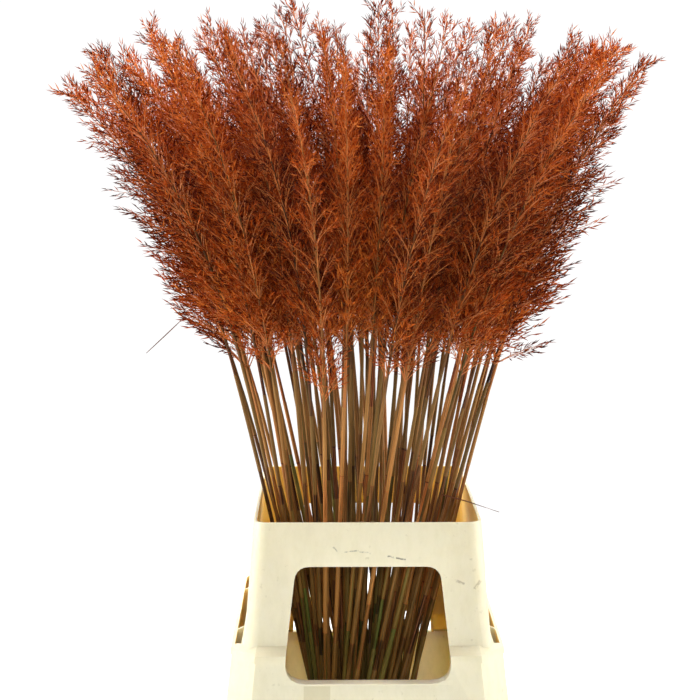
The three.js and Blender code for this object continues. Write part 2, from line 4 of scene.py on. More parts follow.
import bmesh
import bpy
import numpy as np
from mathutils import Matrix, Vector


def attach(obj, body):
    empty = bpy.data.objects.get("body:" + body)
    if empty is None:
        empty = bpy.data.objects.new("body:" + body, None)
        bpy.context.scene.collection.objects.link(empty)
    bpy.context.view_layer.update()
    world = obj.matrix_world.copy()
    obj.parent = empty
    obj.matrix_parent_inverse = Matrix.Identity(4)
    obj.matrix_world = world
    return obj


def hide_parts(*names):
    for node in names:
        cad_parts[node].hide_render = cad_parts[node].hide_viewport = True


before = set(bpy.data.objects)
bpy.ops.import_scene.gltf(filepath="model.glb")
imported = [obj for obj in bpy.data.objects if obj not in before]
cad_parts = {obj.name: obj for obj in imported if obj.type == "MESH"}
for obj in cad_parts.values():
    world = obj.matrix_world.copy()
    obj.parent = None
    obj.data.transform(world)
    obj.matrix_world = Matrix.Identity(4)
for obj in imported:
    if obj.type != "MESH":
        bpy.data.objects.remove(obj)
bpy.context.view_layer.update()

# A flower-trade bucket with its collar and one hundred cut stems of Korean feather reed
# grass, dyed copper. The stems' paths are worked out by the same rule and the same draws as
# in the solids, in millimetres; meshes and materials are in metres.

MM = 0.001

# The container, in millimetres, as in the solids
BUCKET_FLOOR_Z = 6
GAP = 0.3

# The sheaf, in millimetres, as in the solids
CULMS_PER_BUNCH = 5
RINGS = [(1, 0), (6, 19), (13, 38)]
RING_TURN = 0.24
BUNCH_TURN = 1.3
WAIST_Z = 62
SHEAF_WAIST_X = -4.5
SHEAF_LEAN_X = 0.006
SHEAF_STRETCH_Y = 1.12
SHEAF_TWIST = 0.006
BUNCH_TWIST = 0.0095
CULM_OFFSET = 3.8

# The path of a stem, in millimetres, as in the solids
CULM_RADIUS = 2.6
PLUME_BASE_RADIUS = 1.7
TIP_RADIUS = 0.7
STRAIGHT_TO = 420
PLUME_STARTS = 650
PLUME_START_SPREAD = 60
STEM_LENGTH = 985
LONGER_OUTSIDE = 15
LENGTH_SPREAD = 45
ARCH_SLOPE = 0.56
ARCH_MOST = 1.4
ARCH_LESS_IF_LONG = 0.5
ARCH_SPREAD = 0.2
ARCH_POWER = 2.4
ARCH_OUTWARD_POWER = 0.8
STRAY_SLOPE = 0.19
STRAY_TURN = 0.5
ALL_BEND_X = -0.1
STEP = 5
LAYOUT_SEED = 4000
LAYOUT_TRIES = 40
WHORLS = [0.02, 0.22, 0.42, 0.62, 0.81]
WHORL_HEIGHT = 8
CLEARANCE = 0.45
LEAF_ROOTS = [(83, -60, 467), (-165, 10, 580)]
LEAF_TIPS = [(143, -142, 466), (-250, -8, 622)]
LEAF_ROOT_RADIUS = 4.5

# The camera: its place in metres, its tilt down and its turn to the right in degrees, and
# its focal length in millimetres
CAMERA_PLACE = (-0.040, -2.165, 0.891)
CAMERA_PITCH = 7.0
CAMERA_YAW = 0.6
CAMERA_LENS = 98.2


# Nodes, colours and meshes

def connect(tree, node, inputs):
    """Links each input to a socket, to a node's first output or to a list of these, or else
    sets it to a value."""
    for socket, sources in inputs.items():
        for source in sources if isinstance(sources, list) else [sources]:
            if isinstance(source, bpy.types.Node):
                source = source.outputs[0]
            if isinstance(source, bpy.types.NodeSocket):
                tree.links.new(source, node.inputs[socket])
            else:
                node.inputs[socket].default_value = source


def add(tree, kind, inputs=None, **settings):
    """Adds a node, with its settings and its inputs."""
    made = tree.nodes.new(kind)
    for name, value in settings.items():
        setattr(made, name, value)
    connect(tree, made, inputs or {})
    return made


def linear(colour):
    """A colour written as sRGB hex, as the linear numbers that shaders take."""
    channels = [int(colour[i : i + 2], 16) / 255 for i in (1, 3, 5)]
    bent = [c / 12.92 if c <= 0.04045 else ((c + 0.055) / 1.055) ** 2.4 for c in channels]
    return (*bent, 1.0)


def shown(name, data):
    made = bpy.data.objects.new(name, data)
    bpy.context.scene.collection.objects.link(made)
    return made


def evaluated_mesh(source):
    graph = bpy.context.evaluated_depsgraph_get()
    return bpy.data.meshes.new_from_object(source.evaluated_get(graph))


def finished(piece, slot, *nodes):
    """Puts a piece in the frame: its body and the solids it stands for. The slot it is given is not used.
    """
    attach(piece, "root")
    if nodes:
        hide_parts(*nodes)
    return piece


# The layout of the stems

def seeded(seed):
    """The same small generator as in the solids, so that every stem takes the same path."""
    mask = 0xFFFFFFFF
    state = seed & mask

    def draw():
        nonlocal state
        state = (state + 0x6D2B79F5) & mask
        mixed = ((state ^ (state >> 15)) * (state | 1)) & mask
        mixed ^= (mixed + (((mixed ^ (mixed >> 7)) * (mixed | 61)) & mask)) & mask
        return ((mixed ^ (mixed >> 14)) & mask) / 4294967296

    return draw


def unit(v):
    return v / math.sqrt(v @ v)


def quarter_turn(v):
    return np.array([-v[1], v[0]])


class CulmLine:
    """The straight line of a culm, which leans round the axis of the sheaf."""

    def __init__(self, centre, offset):
        self.lean = quarter_turn(centre) * SHEAF_TWIST + quarter_turn(offset) * BUNCH_TWIST
        self.waist = centre + offset
        self.slope = np.array(
            [SHEAF_LEAN_X + self.lean[0], self.lean[1] * SHEAF_STRETCH_Y, 1.0]
        )

    def at(self, z):
        rise = z - WAIST_Z
        x = SHEAF_WAIST_X + SHEAF_LEAN_X * rise + self.waist[0] + self.lean[0] * rise
        y = (self.waist[1] + self.lean[1] * rise) * SHEAF_STRETCH_Y
        return np.array([x, y, z])


def bunch_centres():
    for ring, (bunches, radius) in enumerate(RINGS):
        for i in range(bunches):
            angle = (i + RING_TURN * ring) / bunches * 2 * math.pi
            yield np.array([radius * math.cos(angle), radius * math.sin(angle)])


def stem_path(line, draw):
    """Points every STEP from the cut end to the tip, the start of the plume and the length."""
    outwardness = math.hypot(*line.waist) / (RINGS[-1][1] + CULM_OFFSET)
    vigour = draw()
    length = STEM_LENGTH + LONGER_OUTSIDE * outwardness**2 + (vigour - 0.5) * LENGTH_SPREAD
    share = ARCH_MOST - ARCH_LESS_IF_LONG * vigour - ARCH_SPREAD * draw()
    arch = ARCH_SLOPE * share * outwardness**ARCH_OUTWARD_POWER
    stray_angle = draw() * 2 * math.pi
    stray = STRAY_SLOPE * draw()
    turn = (draw() - 0.5) * STRAY_TURN
    plume_base = PLUME_STARTS + (draw() - 0.5) * PLUME_START_SPREAD
    far = line.at(STEM_LENGTH)
    heading = math.atan2(far[1], far[0]) + turn
    outward = np.array([math.cos(heading), math.sin(heading), 0.0])
    stray_way = np.array([math.cos(stray_angle), math.sin(stray_angle), 0.0])
    points = [line.at(BUCKET_FLOOR_Z + GAP)]
    s = 0
    while s < length:
        bend = max(0.0, (s - STRAIGHT_TO) / (length - STRAIGHT_TO)) ** ARCH_POWER
        way = line.slope + outward * arch * bend + stray_way * stray * bend
        way[0] += ALL_BEND_X * bend
        points.append(points[-1] + unit(way) * STEP)
        s += STEP
    return np.array(points), plume_base, (len(points) - 1) * STEP


def point_along(points, s):
    i = min(int(s // STEP), len(points) - 2)
    return points[i] + (points[i + 1] - points[i]) * (s / STEP - i)


class PlacedRuns:
    """Straight runs of stems that are in place, to test whether a new one is clear of them."""

    def __init__(self):
        self.starts = np.zeros((0, 3))
        self.ends = np.zeros((0, 3))
        self.radii = np.zeros((0, 2))
        self.stems = np.zeros(0, int)

    def add(self, stem, runs):
        self.starts = np.vstack([self.starts, [run[0] for run in runs]])
        self.ends = np.vstack([self.ends, [run[1] for run in runs]])
        self.radii = np.vstack([self.radii, [run[2:] for run in runs]])
        self.stems = np.append(self.stems, [stem] * len(runs))

    def leaves_free(self, stem, run):
        start, end, radius_from, _ = run
        others = self.stems != stem
        starts, ends, radii = self.starts[others], self.ends[others], self.radii[others]
        middles = (starts + ends) / 2
        halves = np.linalg.norm(ends - starts, axis=1) / 2
        half = np.linalg.norm(end - start) / 2 + 2 * CULM_RADIUS + CLEARANCE
        near = np.linalg.norm(middles - (start + end) / 2, axis=1) <= half + halves
        starts, ends, radii = starts[near], ends[near], radii[near]
        u, v, w = end - start, ends - starts, start - starts
        a, b, c = u @ u, v @ u, (v * v).sum(1)
        d, e = w @ u, (v * w).sum(1)
        t = np.clip((a * e - b * d) / np.maximum(a * c - b * b, 1e-9), 0, 1)
        s = np.clip((b * t - d) / a, 0, 1)
        t = np.clip((b * s + e) / c, 0, 1)
        apart = np.linalg.norm(w + u * s[:, None] - v * t[:, None], axis=1)
        room = radius_from * (1 - s) + radii[:, 0] + (radii[:, 1] - radii[:, 0]) * t
        return bool((apart > room + CLEARANCE).all())


def axis_runs(line, path):
    points, plume_base, length = path
    stations = [(line.at(BUCKET_FLOOR_Z), CULM_RADIUS)]
    for share in WHORLS:
        low = plume_base + share * (length - plume_base)
        for s in (low, low + WHORL_HEIGHT):
            along = (s - plume_base) / (length - plume_base)
            radius = PLUME_BASE_RADIUS + (TIP_RADIUS - PLUME_BASE_RADIUS) * along
            stations.append((point_along(points, s), radius))
    stations.append((point_along(points, length), 0.0))
    return [(a, b, ra, rb) for (a, ra), (b, rb) in zip(stations, stations[1:])]


def settled_stem(placed, index, line):
    """Draws a stem again until its axis is clear of the stems before it."""
    draw = seeded(LAYOUT_SEED + index)
    for attempt in range(LAYOUT_TRIES):
        path = stem_path(line, draw)
        runs = axis_runs(line, path)
        if all(placed.leaves_free(index, run) for run in runs[1:]):
            break
    placed.add(index, runs)
    points, plume_base, length = path
    return {"index": index, "points": points, "plume_base": plume_base, "length": length,
            "chord": (line.at(WAIST_Z), runs[0][1])}


def lay_out_sheaf():
    placed = PlacedRuns()
    bunches = []
    for b, centre in enumerate(bunch_centres()):
        stems = []
        for j in range(CULMS_PER_BUNCH):
            angle = b * BUNCH_TURN + j / CULMS_PER_BUNCH * 2 * math.pi
            offset = CULM_OFFSET * np.array([math.cos(angle), math.sin(angle)])
            line = CulmLine(centre, offset)
            stems.append(settled_stem(placed, b * CULMS_PER_BUNCH + j, line))
        bunches.append(stems)
    for root, tip in zip(LEAF_ROOTS, LEAF_TIPS):
        give_leaf(placed, bunches, np.array(root, float), np.array(tip, float))
    return bunches


def give_leaf(placed, bunches, root, tip):
    """A dried leaf belongs to the culm nearest to its root from which its way is clear."""
    best = None
    for bunch in bunches:
        for stem in bunch:
            low, high = stem["chord"]
            start = low + (high - low) * (root[2] - low[2]) / (high[2] - low[2])
            run = (start, tip, LEAF_ROOT_RADIUS, 0.1)
            off = np.linalg.norm(start - root)
            if placed.leaves_free(stem["index"], run) and (best is None or off < best[0]):
                best = (off, stem, run)
    _, stem, run = best
    stem["leaf"] = tip
    stem["leaf_z"] = root[2]
    placed.add(stem["index"], [run])


# Culms, in millimetres: where each has its joints and sheaths, and how far the dye took

JOINT_HEIGHTS = [70, 190, 335, 505]  # the lowest joints of a culm, from its cut end
JOINT_SPREAD = 55
JOINT_SWELLING = 0.2
JOINT_BELOW, JOINT_ABOVE = 1.2, 1.4  # how far from a joint its swelling reaches
SHEATH_THICKNESS = 0.25
SHEATH_LENGTHS = (70, 150)
SHEATH_MOST = 0.85  # of the way from its joint to the next
SHEATH_EDGE = 0.6
CULM_SCENE_RADII = (2.4, 3.2)  # the thinnest and the thickest culm
CULM_RADIUS_AT_PLUME = 1.7
CULM_RADIUS_AT_TIP = 0.35
CULM_TAPER_POWER = 1.6
PLUME_TAPER_POWER = 0.7
PLAIN_STEP = 45
PLAIN_RINGS_END = 8  # below the next joint
WHORLS_PER_PLUME = 19
WHORLS_CLOSE_UP = 1.45  # how much closer the whorls stand towards the tip
FIRST_BRANCH_BELOW = (-18, 16)  # how far below the start of its plume a stem first branches
STEM_LOOK_SEED = 500
# Painted shade: stems of the inner bunches get lower tints, so their bracts are darker, as if shaded by the
# outer bunches
INNER_SHADE_TINT = 0.6  # the most of it that a stem of an inner bunch has

# Hues of a culm, which go from 0, dyed dark, through straw to 1, still green
LEAST_HUE, MOST_HUE = 0.03, 0.97
CULM_HUES = 0.5  # how far culms differ
PIECE_HUES = 0.07  # how far a piece between two joints is off its culm's hue
FRESH_AT_CUT_END = 0.38
FRESH_UP_TO = 600
JOINT_DARKER = 0.15
BARE_DARKER = 0.05  # where no sheath is round the culm
PLUME_HUE = 0.28
PLUME_HUES = 0.34


def culm_radius(s, cut_radius, plume_base, length):
    if s < plume_base:
        taper = (s / plume_base) ** CULM_TAPER_POWER
        return cut_radius + (CULM_RADIUS_AT_PLUME - cut_radius) * taper
    taper = ((s - plume_base) / (length - plume_base)) ** PLUME_TAPER_POWER
    return CULM_RADIUS_AT_PLUME + (CULM_RADIUS_AT_TIP - CULM_RADIUS_AT_PLUME) * taper


def culm_stations(stem, draw):
    """Rings of a culm as (distance, radius, hue, sheath), from its cut end up."""
    plume_base, length = stem["plume_base"], stem["length"]
    joints = [height + draw.uniform(-0.5, 0.5) * JOINT_SPREAD for height in JOINT_HEIGHTS]
    own_hue = draw.uniform(0.0, 1.0)
    cut_radius = draw.uniform(*CULM_SCENE_RADII)
    stations = []

    def station(s, extra, hue, sheath):
        stations.append((s, culm_radius(s, cut_radius, plume_base, length) + extra, hue, sheath))

    edges = [0, *joints, plume_base]
    for k, (low, high) in enumerate(zip(edges, edges[1:])):
        freshness = FRESH_AT_CUT_END * max(0.0, 1 - low / FRESH_UP_TO)
        drift = draw.uniform(-PIECE_HUES, PIECE_HUES)
        hue = min(MOST_HUE, max(LEAST_HUE, LEAST_HUE + CULM_HUES * own_hue + freshness + drift))
        sheath_end = low + min(draw.uniform(*SHEATH_LENGTHS), (high - low) * SHEATH_MOST)
        if k == 0:
            station(0, 0, hue, 0)
        else:
            station(low - JOINT_BELOW, 0, stations[-1][2], 0)
            station(low, JOINT_SWELLING, max(0, hue - JOINT_DARKER), 0)
            station(low + JOINT_ABOVE, SHEATH_THICKNESS, hue, 1)
        s = low + PLAIN_STEP
        while s < high - PLAIN_RINGS_END:
            if k > 0 and s - PLAIN_STEP < sheath_end <= s:
                station(sheath_end - SHEATH_EDGE, SHEATH_THICKNESS, hue, 1)
                station(sheath_end, 0, hue - BARE_DARKER, 0)
            if k > 0 and s < sheath_end:
                station(s, SHEATH_THICKNESS, hue, 1)
            else:
                station(s, 0, hue - BARE_DARKER, 0)
            s += PLAIN_STEP
    for i in range(WHORLS_PER_PLUME + 1):
        share = 1 - (1 - i / WHORLS_PER_PLUME) ** WHORLS_CLOSE_UP
        station(plume_base + share * (length - plume_base), 0, PLUME_HUE + PLUME_HUES * own_hue, 0)
    return stations


PATH_ATTRIBUTES = ["radius", "plume", "along", "hue", "sheath", "tint"]


def bunch_paths(name, bunch, is_outer):
    """The five stems of a bunch as lines of edges, with what the trees below read on them."""
    places, edges, rows = [], [], []
    for stem in bunch:
        draw = random.Random(STEM_LOOK_SEED + stem["index"])
        # Inner bunches take a lower tint: painted shade
        tint = draw.random() * (1.0 if is_outer else INNER_SHADE_TINT)
        first = len(places)
        stem["plume_base"] -= draw.uniform(*FIRST_BRANCH_BELOW)
        plume_length = stem["length"] - stem["plume_base"]
        for s, radius, hue, sheath in culm_stations(stem, draw):
            places.append(point_along(stem["points"], s) * MM)
            plume = (s - stem["plume_base"]) / plume_length
            rows.append((radius * MM, plume, s * MM, hue, sheath, tint))
        edges += [(i, i + 1) for i in range(first, len(places) - 1)]
    mesh = bpy.data.meshes.new(name)
    mesh.from_pydata([tuple(p) for p in places], edges, [])
    for key, column in zip(PATH_ATTRIBUTES, zip(*rows)):
        layer = mesh.attributes.new(key, "FLOAT", "POINT")
        layer.data.foreach_set("value", np.array(column, np.float32))
    return shown(name, mesh)


# Geometry trees for the plumes

CULM, STALK, SPIKELET = 0, 1, 2  # the attribute "part" says what a face belongs to
FLOAT, WHOLE, MATERIAL = "NodeSocketFloat", "NodeSocketInt", "NodeSocketMaterial"
TURN_BETWEEN = 2.4  # radians round a stalk, from one thing that grows on it to the next
JUST_UNDER = 0.01  # taken off a count, so that a share of 1 still picks the last item


def new_tree(name, sockets):
    tree = bpy.data.node_groups.new(name, "GeometryNodeTree")
    for label, kind in sockets.items():
        tree.interface.new_socket(label, in_out="INPUT", socket_type=kind)
    tree.interface.new_socket("Geometry", in_out="OUTPUT", socket_type="NodeSocketGeometry")
    return tree, add(tree, "NodeGroupInput").outputs


def along_stalk(tree, count):
    """Of each of so many points: its index, and its share of the way from first to last."""
    index = add(tree, "GeometryNodeInputIndex")
    last = add(tree, "ShaderNodeMath", {0: count, 1: 1.0}, operation="SUBTRACT")
    return index, add(tree, "ShaderNodeMath", {0: index, 1: last}, operation="DIVIDE")


def spiral_turn(tree, index, share, lean, sway, spread, seeds):
    """A turn in a spiral round a stalk, after a lean away from it that changes along the stalk."""
    usual = add(tree, "ShaderNodeMapRange", {"Value": share, "To Min": lean[0], "To Max": lean[1]})
    off = add(tree, "FunctionNodeRandomValue", {"Min": sway[0], "Max": sway[1], "Seed": seeds[0]})
    tilt = add(tree, "ShaderNodeMath", {0: usual, 1: off.outputs[1]})
    around = add(tree, "FunctionNodeRandomValue", {"Min": -spread, "Max": spread, "Seed": seeds[1]})
    azimuth = add(tree, "ShaderNodeMath",
                  {0: index, 1: TURN_BETWEEN, 2: around.outputs[1]}, operation="MULTIPLY_ADD")
    turn = add(tree, "ShaderNodeCombineXYZ", {"Y": tilt, "Z": azimuth})
    return add(tree, "FunctionNodeEulerToRotation", {0: turn})


# The corners of a bract: its tip, its root, and its two sides, which stand open towards +Y
BRACT_CORNERS = [(0, 0, 1), (0, 0, 0), (0.5, 0.4, 0.35), (-0.5, 0.4, 0.35)]
OPEN_SIDE_PAST = 0.2


def spikelet_tree():
    """A slim bract one unit long and wide, standing up from its root and folded along its
    keel, which runs from the root to the tip."""
    tree, _ = new_tree("spikelet_bract", {})
    cone = add(tree, "GeometryNodeMeshCone", {"Vertices": 3, "Radius Top": 0.0}, fill_type="NONE")
    corner = add(tree, "GeometryNodeIndexSwitch", data_type="VECTOR")
    corner.index_switch_items.new()
    corner.index_switch_items.new()
    tree.links.new(add(tree, "GeometryNodeInputIndex").outputs[0], corner.inputs[0])
    for socket, place in enumerate(BRACT_CORNERS, 1):
        corner.inputs[socket].default_value = place
    shaped = add(tree, "GeometryNodeSetPosition", {0: cone, "Position": corner})
    where = add(tree, "ShaderNodeSeparateXYZ", {0: add(tree, "GeometryNodeInputPosition")})
    is_open = add(tree, "FunctionNodeCompare",
                  {0: where.outputs[1], 1: OPEN_SIDE_PAST}, operation="GREATER_THAN")
    bract = add(tree, "GeometryNodeDeleteGeometry", {0: shaped, 1: is_open}, domain="FACE")
    add(tree, "NodeGroupOutput", {0: bract})
    return tree


# Spikelets on a branchlet, in metres, radians and shares of the branchlet's length
TWIG_THICKNESS = 0.0005
FIRST_SPIKELET_AT = 0.18
SPIKELET_LEAN = (0.6, 0.12)  # of the lowest and of the topmost
SPIKELET_SWAY = (-0.15, 0.15)
SPIKELET_SPREAD = 0.5
SPIKELET_LENGTHS = (0.75, 1.2)  # the shortest and the longest, against the usual length


def branchlet_tree(spikelet):
    """A straight branchlet that stands up from its root, with spikelets all round it."""
    tree, given = new_tree("branchlet", {
        "Length": FLOAT, "Spikelets": WHOLE, "Spikelet length": FLOAT, "Spikelet width": FLOAT,
        "Seed": WHOLE,
    })
    seed = given["Seed"]
    bract = add(tree, "GeometryNodeGroup", node_tree=spikelet)
    tip = add(tree, "ShaderNodeCombineXYZ", {"Z": given["Length"]})
    first = add(tree, "ShaderNodeMath",
                {0: given["Length"], 1: FIRST_SPIKELET_AT}, operation="MULTIPLY")
    start = add(tree, "ShaderNodeCombineXYZ", {"Z": first})
    stalk_size = add(tree, "ShaderNodeCombineXYZ",
                     {"X": TWIG_THICKNESS, "Y": TWIG_THICKNESS, "Z": given["Length"]})
    stalk = add(tree, "GeometryNodeTransform", {0: bract, "Scale": stalk_size})
    stalk = add(tree, "GeometryNodeStoreNamedAttribute",
                {0: stalk, "Name": "part", "Value": float(STALK)})
    line = add(tree, "GeometryNodeCurvePrimitiveLine", {"Start": start, "End": tip})
    points = add(tree, "GeometryNodeCurveToPoints", {0: line, "Count": given["Spikelets"]})
    index, share = along_stalk(tree, given["Spikelets"])
    turn = spiral_turn(
        tree, index, share, SPIKELET_LEAN, SPIKELET_SWAY, SPIKELET_SPREAD, (seed, seed)
    )
    shortest, longest = SPIKELET_LENGTHS
    longer = add(tree, "FunctionNodeRandomValue", {"Min": shortest, "Max": longest, "Seed": seed})
    long = add(tree, "ShaderNodeMath",
               {0: longer.outputs[1], 1: given["Spikelet length"]}, operation="MULTIPLY")
    size = add(tree, "ShaderNodeCombineXYZ",
               {"X": given["Spikelet width"], "Y": given["Spikelet width"], "Z": long})
    bracts = add(tree, "GeometryNodeInstanceOnPoints",
                 {"Points": points, "Instance": bract, "Rotation": turn, "Scale": size})
    part = add(tree, "GeometryNodeStoreNamedAttribute",
               {0: bracts, "Name": "part", "Value": float(SPIKELET)}, domain="INSTANCE")
    shade = add(tree, "FunctionNodeRandomValue", {"Seed": seed})
    glint = add(tree, "GeometryNodeStoreNamedAttribute",
                {0: part, "Name": "glint", "Value": shade.outputs[1]}, domain="INSTANCE")
    realised = add(tree, "GeometryNodeRealizeInstances", {0: glint})
    whole = add(tree, "GeometryNodeJoinGeometry", {0: [realised, stalk]})
    add(tree, "NodeGroupOutput", {0: whole})
    return tree


# Branchlets on a branch, in metres, radians and shares of the branch's length
BRANCHLETS = [(1.0, 6), (0.68, 5), (0.36, 3)]  # length against the longest, spikelets
BRANCHLET_SEED, BRANCHLET_SEED_STEP = 5, 11
BRANCH_MIDDLE, BRANCH_END = (0.01, 0.5), (0.15, 0.97)  # how far out and up the curve goes
BRANCH_THICKNESS = (0.0007, 0.00025)
FIRST_BRANCHLET_AT = 0.32
BRANCHLET_LEAN = (0.55, 0.08)  # of the lowest and of the topmost
BRANCHLET_SWAY = (-0.15, 0.15)
BRANCHLET_SPREAD = 0.6


def branch_tree(branchlet):
    """A branch that stands up and bends towards +X, with shorter branchlets towards its tip."""
    tree, given = new_tree("panicle_branch", {
        "Length": FLOAT, "Branchlets": WHOLE, "Branchlet length": FLOAT,
        "Spikelet length": FLOAT, "Spikelet width": FLOAT, "Seed": WHOLE,
    })
    seed = given["Seed"]

    def place(shares):
        out, up = (add(tree, "ShaderNodeMath", {0: given["Length"], 1: share}, operation="MULTIPLY")
                   for share in shares)
        return add(tree, "ShaderNodeCombineXYZ", {"X": out, "Z": up})

    curve = add(tree, "GeometryNodeCurveQuadraticBezier",
                {"Resolution": 3, "Start": (0, 0, 0), "Middle": place(BRANCH_MIDDLE),
                 "End": place(BRANCH_END)})
    thick, thin = BRANCH_THICKNESS
    thickness = add(tree, "ShaderNodeMapRange",
                    {"Value": add(tree, "GeometryNodeSplineParameter"), "To Min": thick, "To Max": thin})
    tapered = add(tree, "GeometryNodeSetCurveRadius", {0: curve, "Radius": thickness})
    section = add(tree, "GeometryNodeCurvePrimitiveCircle", {"Resolution": 3, "Radius": 1.0})
    stalk = add(tree, "GeometryNodeCurveToMesh",
                {0: tapered, 1: section, "Scale": thickness, "Fill Caps": True})
    stalk = add(tree, "GeometryNodeStoreNamedAttribute",
                {0: stalk, "Name": "part", "Value": float(STALK)})
    bearing = add(tree, "GeometryNodeTrimCurve", {0: curve, "Start": FIRST_BRANCHLET_AT, "End": 1.0})
    points = add(tree, "GeometryNodeCurveToPoints", {0: bearing, "Count": given["Branchlets"]})
    index, share = along_stalk(tree, given["Branchlets"])
    turn = spiral_turn(
        tree, index, share, BRANCHLET_LEAN, BRANCHLET_SWAY, BRANCHLET_SPREAD, (seed, seed)
    )
    rotation = add(tree, "FunctionNodeRotateRotation",
                   {0: points.outputs["Rotation"], 1: turn}, rotation_space="LOCAL")
    twigs = []
    for k, (length_share, spikelets) in reversed(list(enumerate(BRANCHLETS))):
        length = add(tree, "ShaderNodeMath",
                     {0: given["Branchlet length"], 1: length_share}, operation="MULTIPLY")
        own_seed = add(tree, "ShaderNodeMath",
                       {0: seed, 1: float(BRANCHLET_SEED_STEP * k + BRANCHLET_SEED)})
        twig = add(tree, "GeometryNodeGroup",
                   {"Length": length, "Spikelets": spikelets, "Seed": own_seed,
                    "Spikelet length": given["Spikelet length"],
                    "Spikelet width": given["Spikelet width"]}, node_tree=branchlet)
        twigs.append(add(tree, "GeometryNodeGeometryToInstance", {0: twig}))
    sizes = add(tree, "GeometryNodeJoinGeometry", {0: twigs})
    choice = add(tree, "ShaderNodeMath",
                 {0: share, 1: len(BRANCHLETS) - JUST_UNDER}, operation="MULTIPLY")
    pick = add(tree, "ShaderNodeMath", {0: choice}, operation="FLOOR")
    placed = add(tree, "GeometryNodeInstanceOnPoints",
                 {"Points": points, "Instance": sizes, "Pick Instance": True,
                  "Instance Index": pick, "Rotation": rotation})
    realised = add(tree, "GeometryNodeRealizeInstances", {0: placed})
    whole = add(tree, "GeometryNodeJoinGeometry", {0: [realised, stalk]})
    add(tree, "NodeGroupOutput", {0: whole})
    return tree


# From the plume's base to its tip: length of a branch, its branchlets, their length
BRANCH_SIZES = [(0.056, 6, 0.020), (0.058, 6, 0.020), (0.043, 5, 0.016), (0.024, 3, 0.010)]
BRANCH_VARIANTS = 3
BRANCH_SEED_STEP = 10

# Branches on a plume, in metres, radians and shares of the plume's length
PLUME_MIDDLE = 0.484
PLUME_HALF = 0.4845  # branches grow this far to either side of the middle
ROOT_SHIFT = 0.0045
BRANCH_SWAY = (-0.2, 0.24)
BRANCH_SPREAD = 0.4
BRANCH_GROWTH = (0.8, 1.15)
BRANCH_TAPER = (1.0, 0.72)
SEED_STEPS = (101.0, 202.0, 303.0, 404.0)


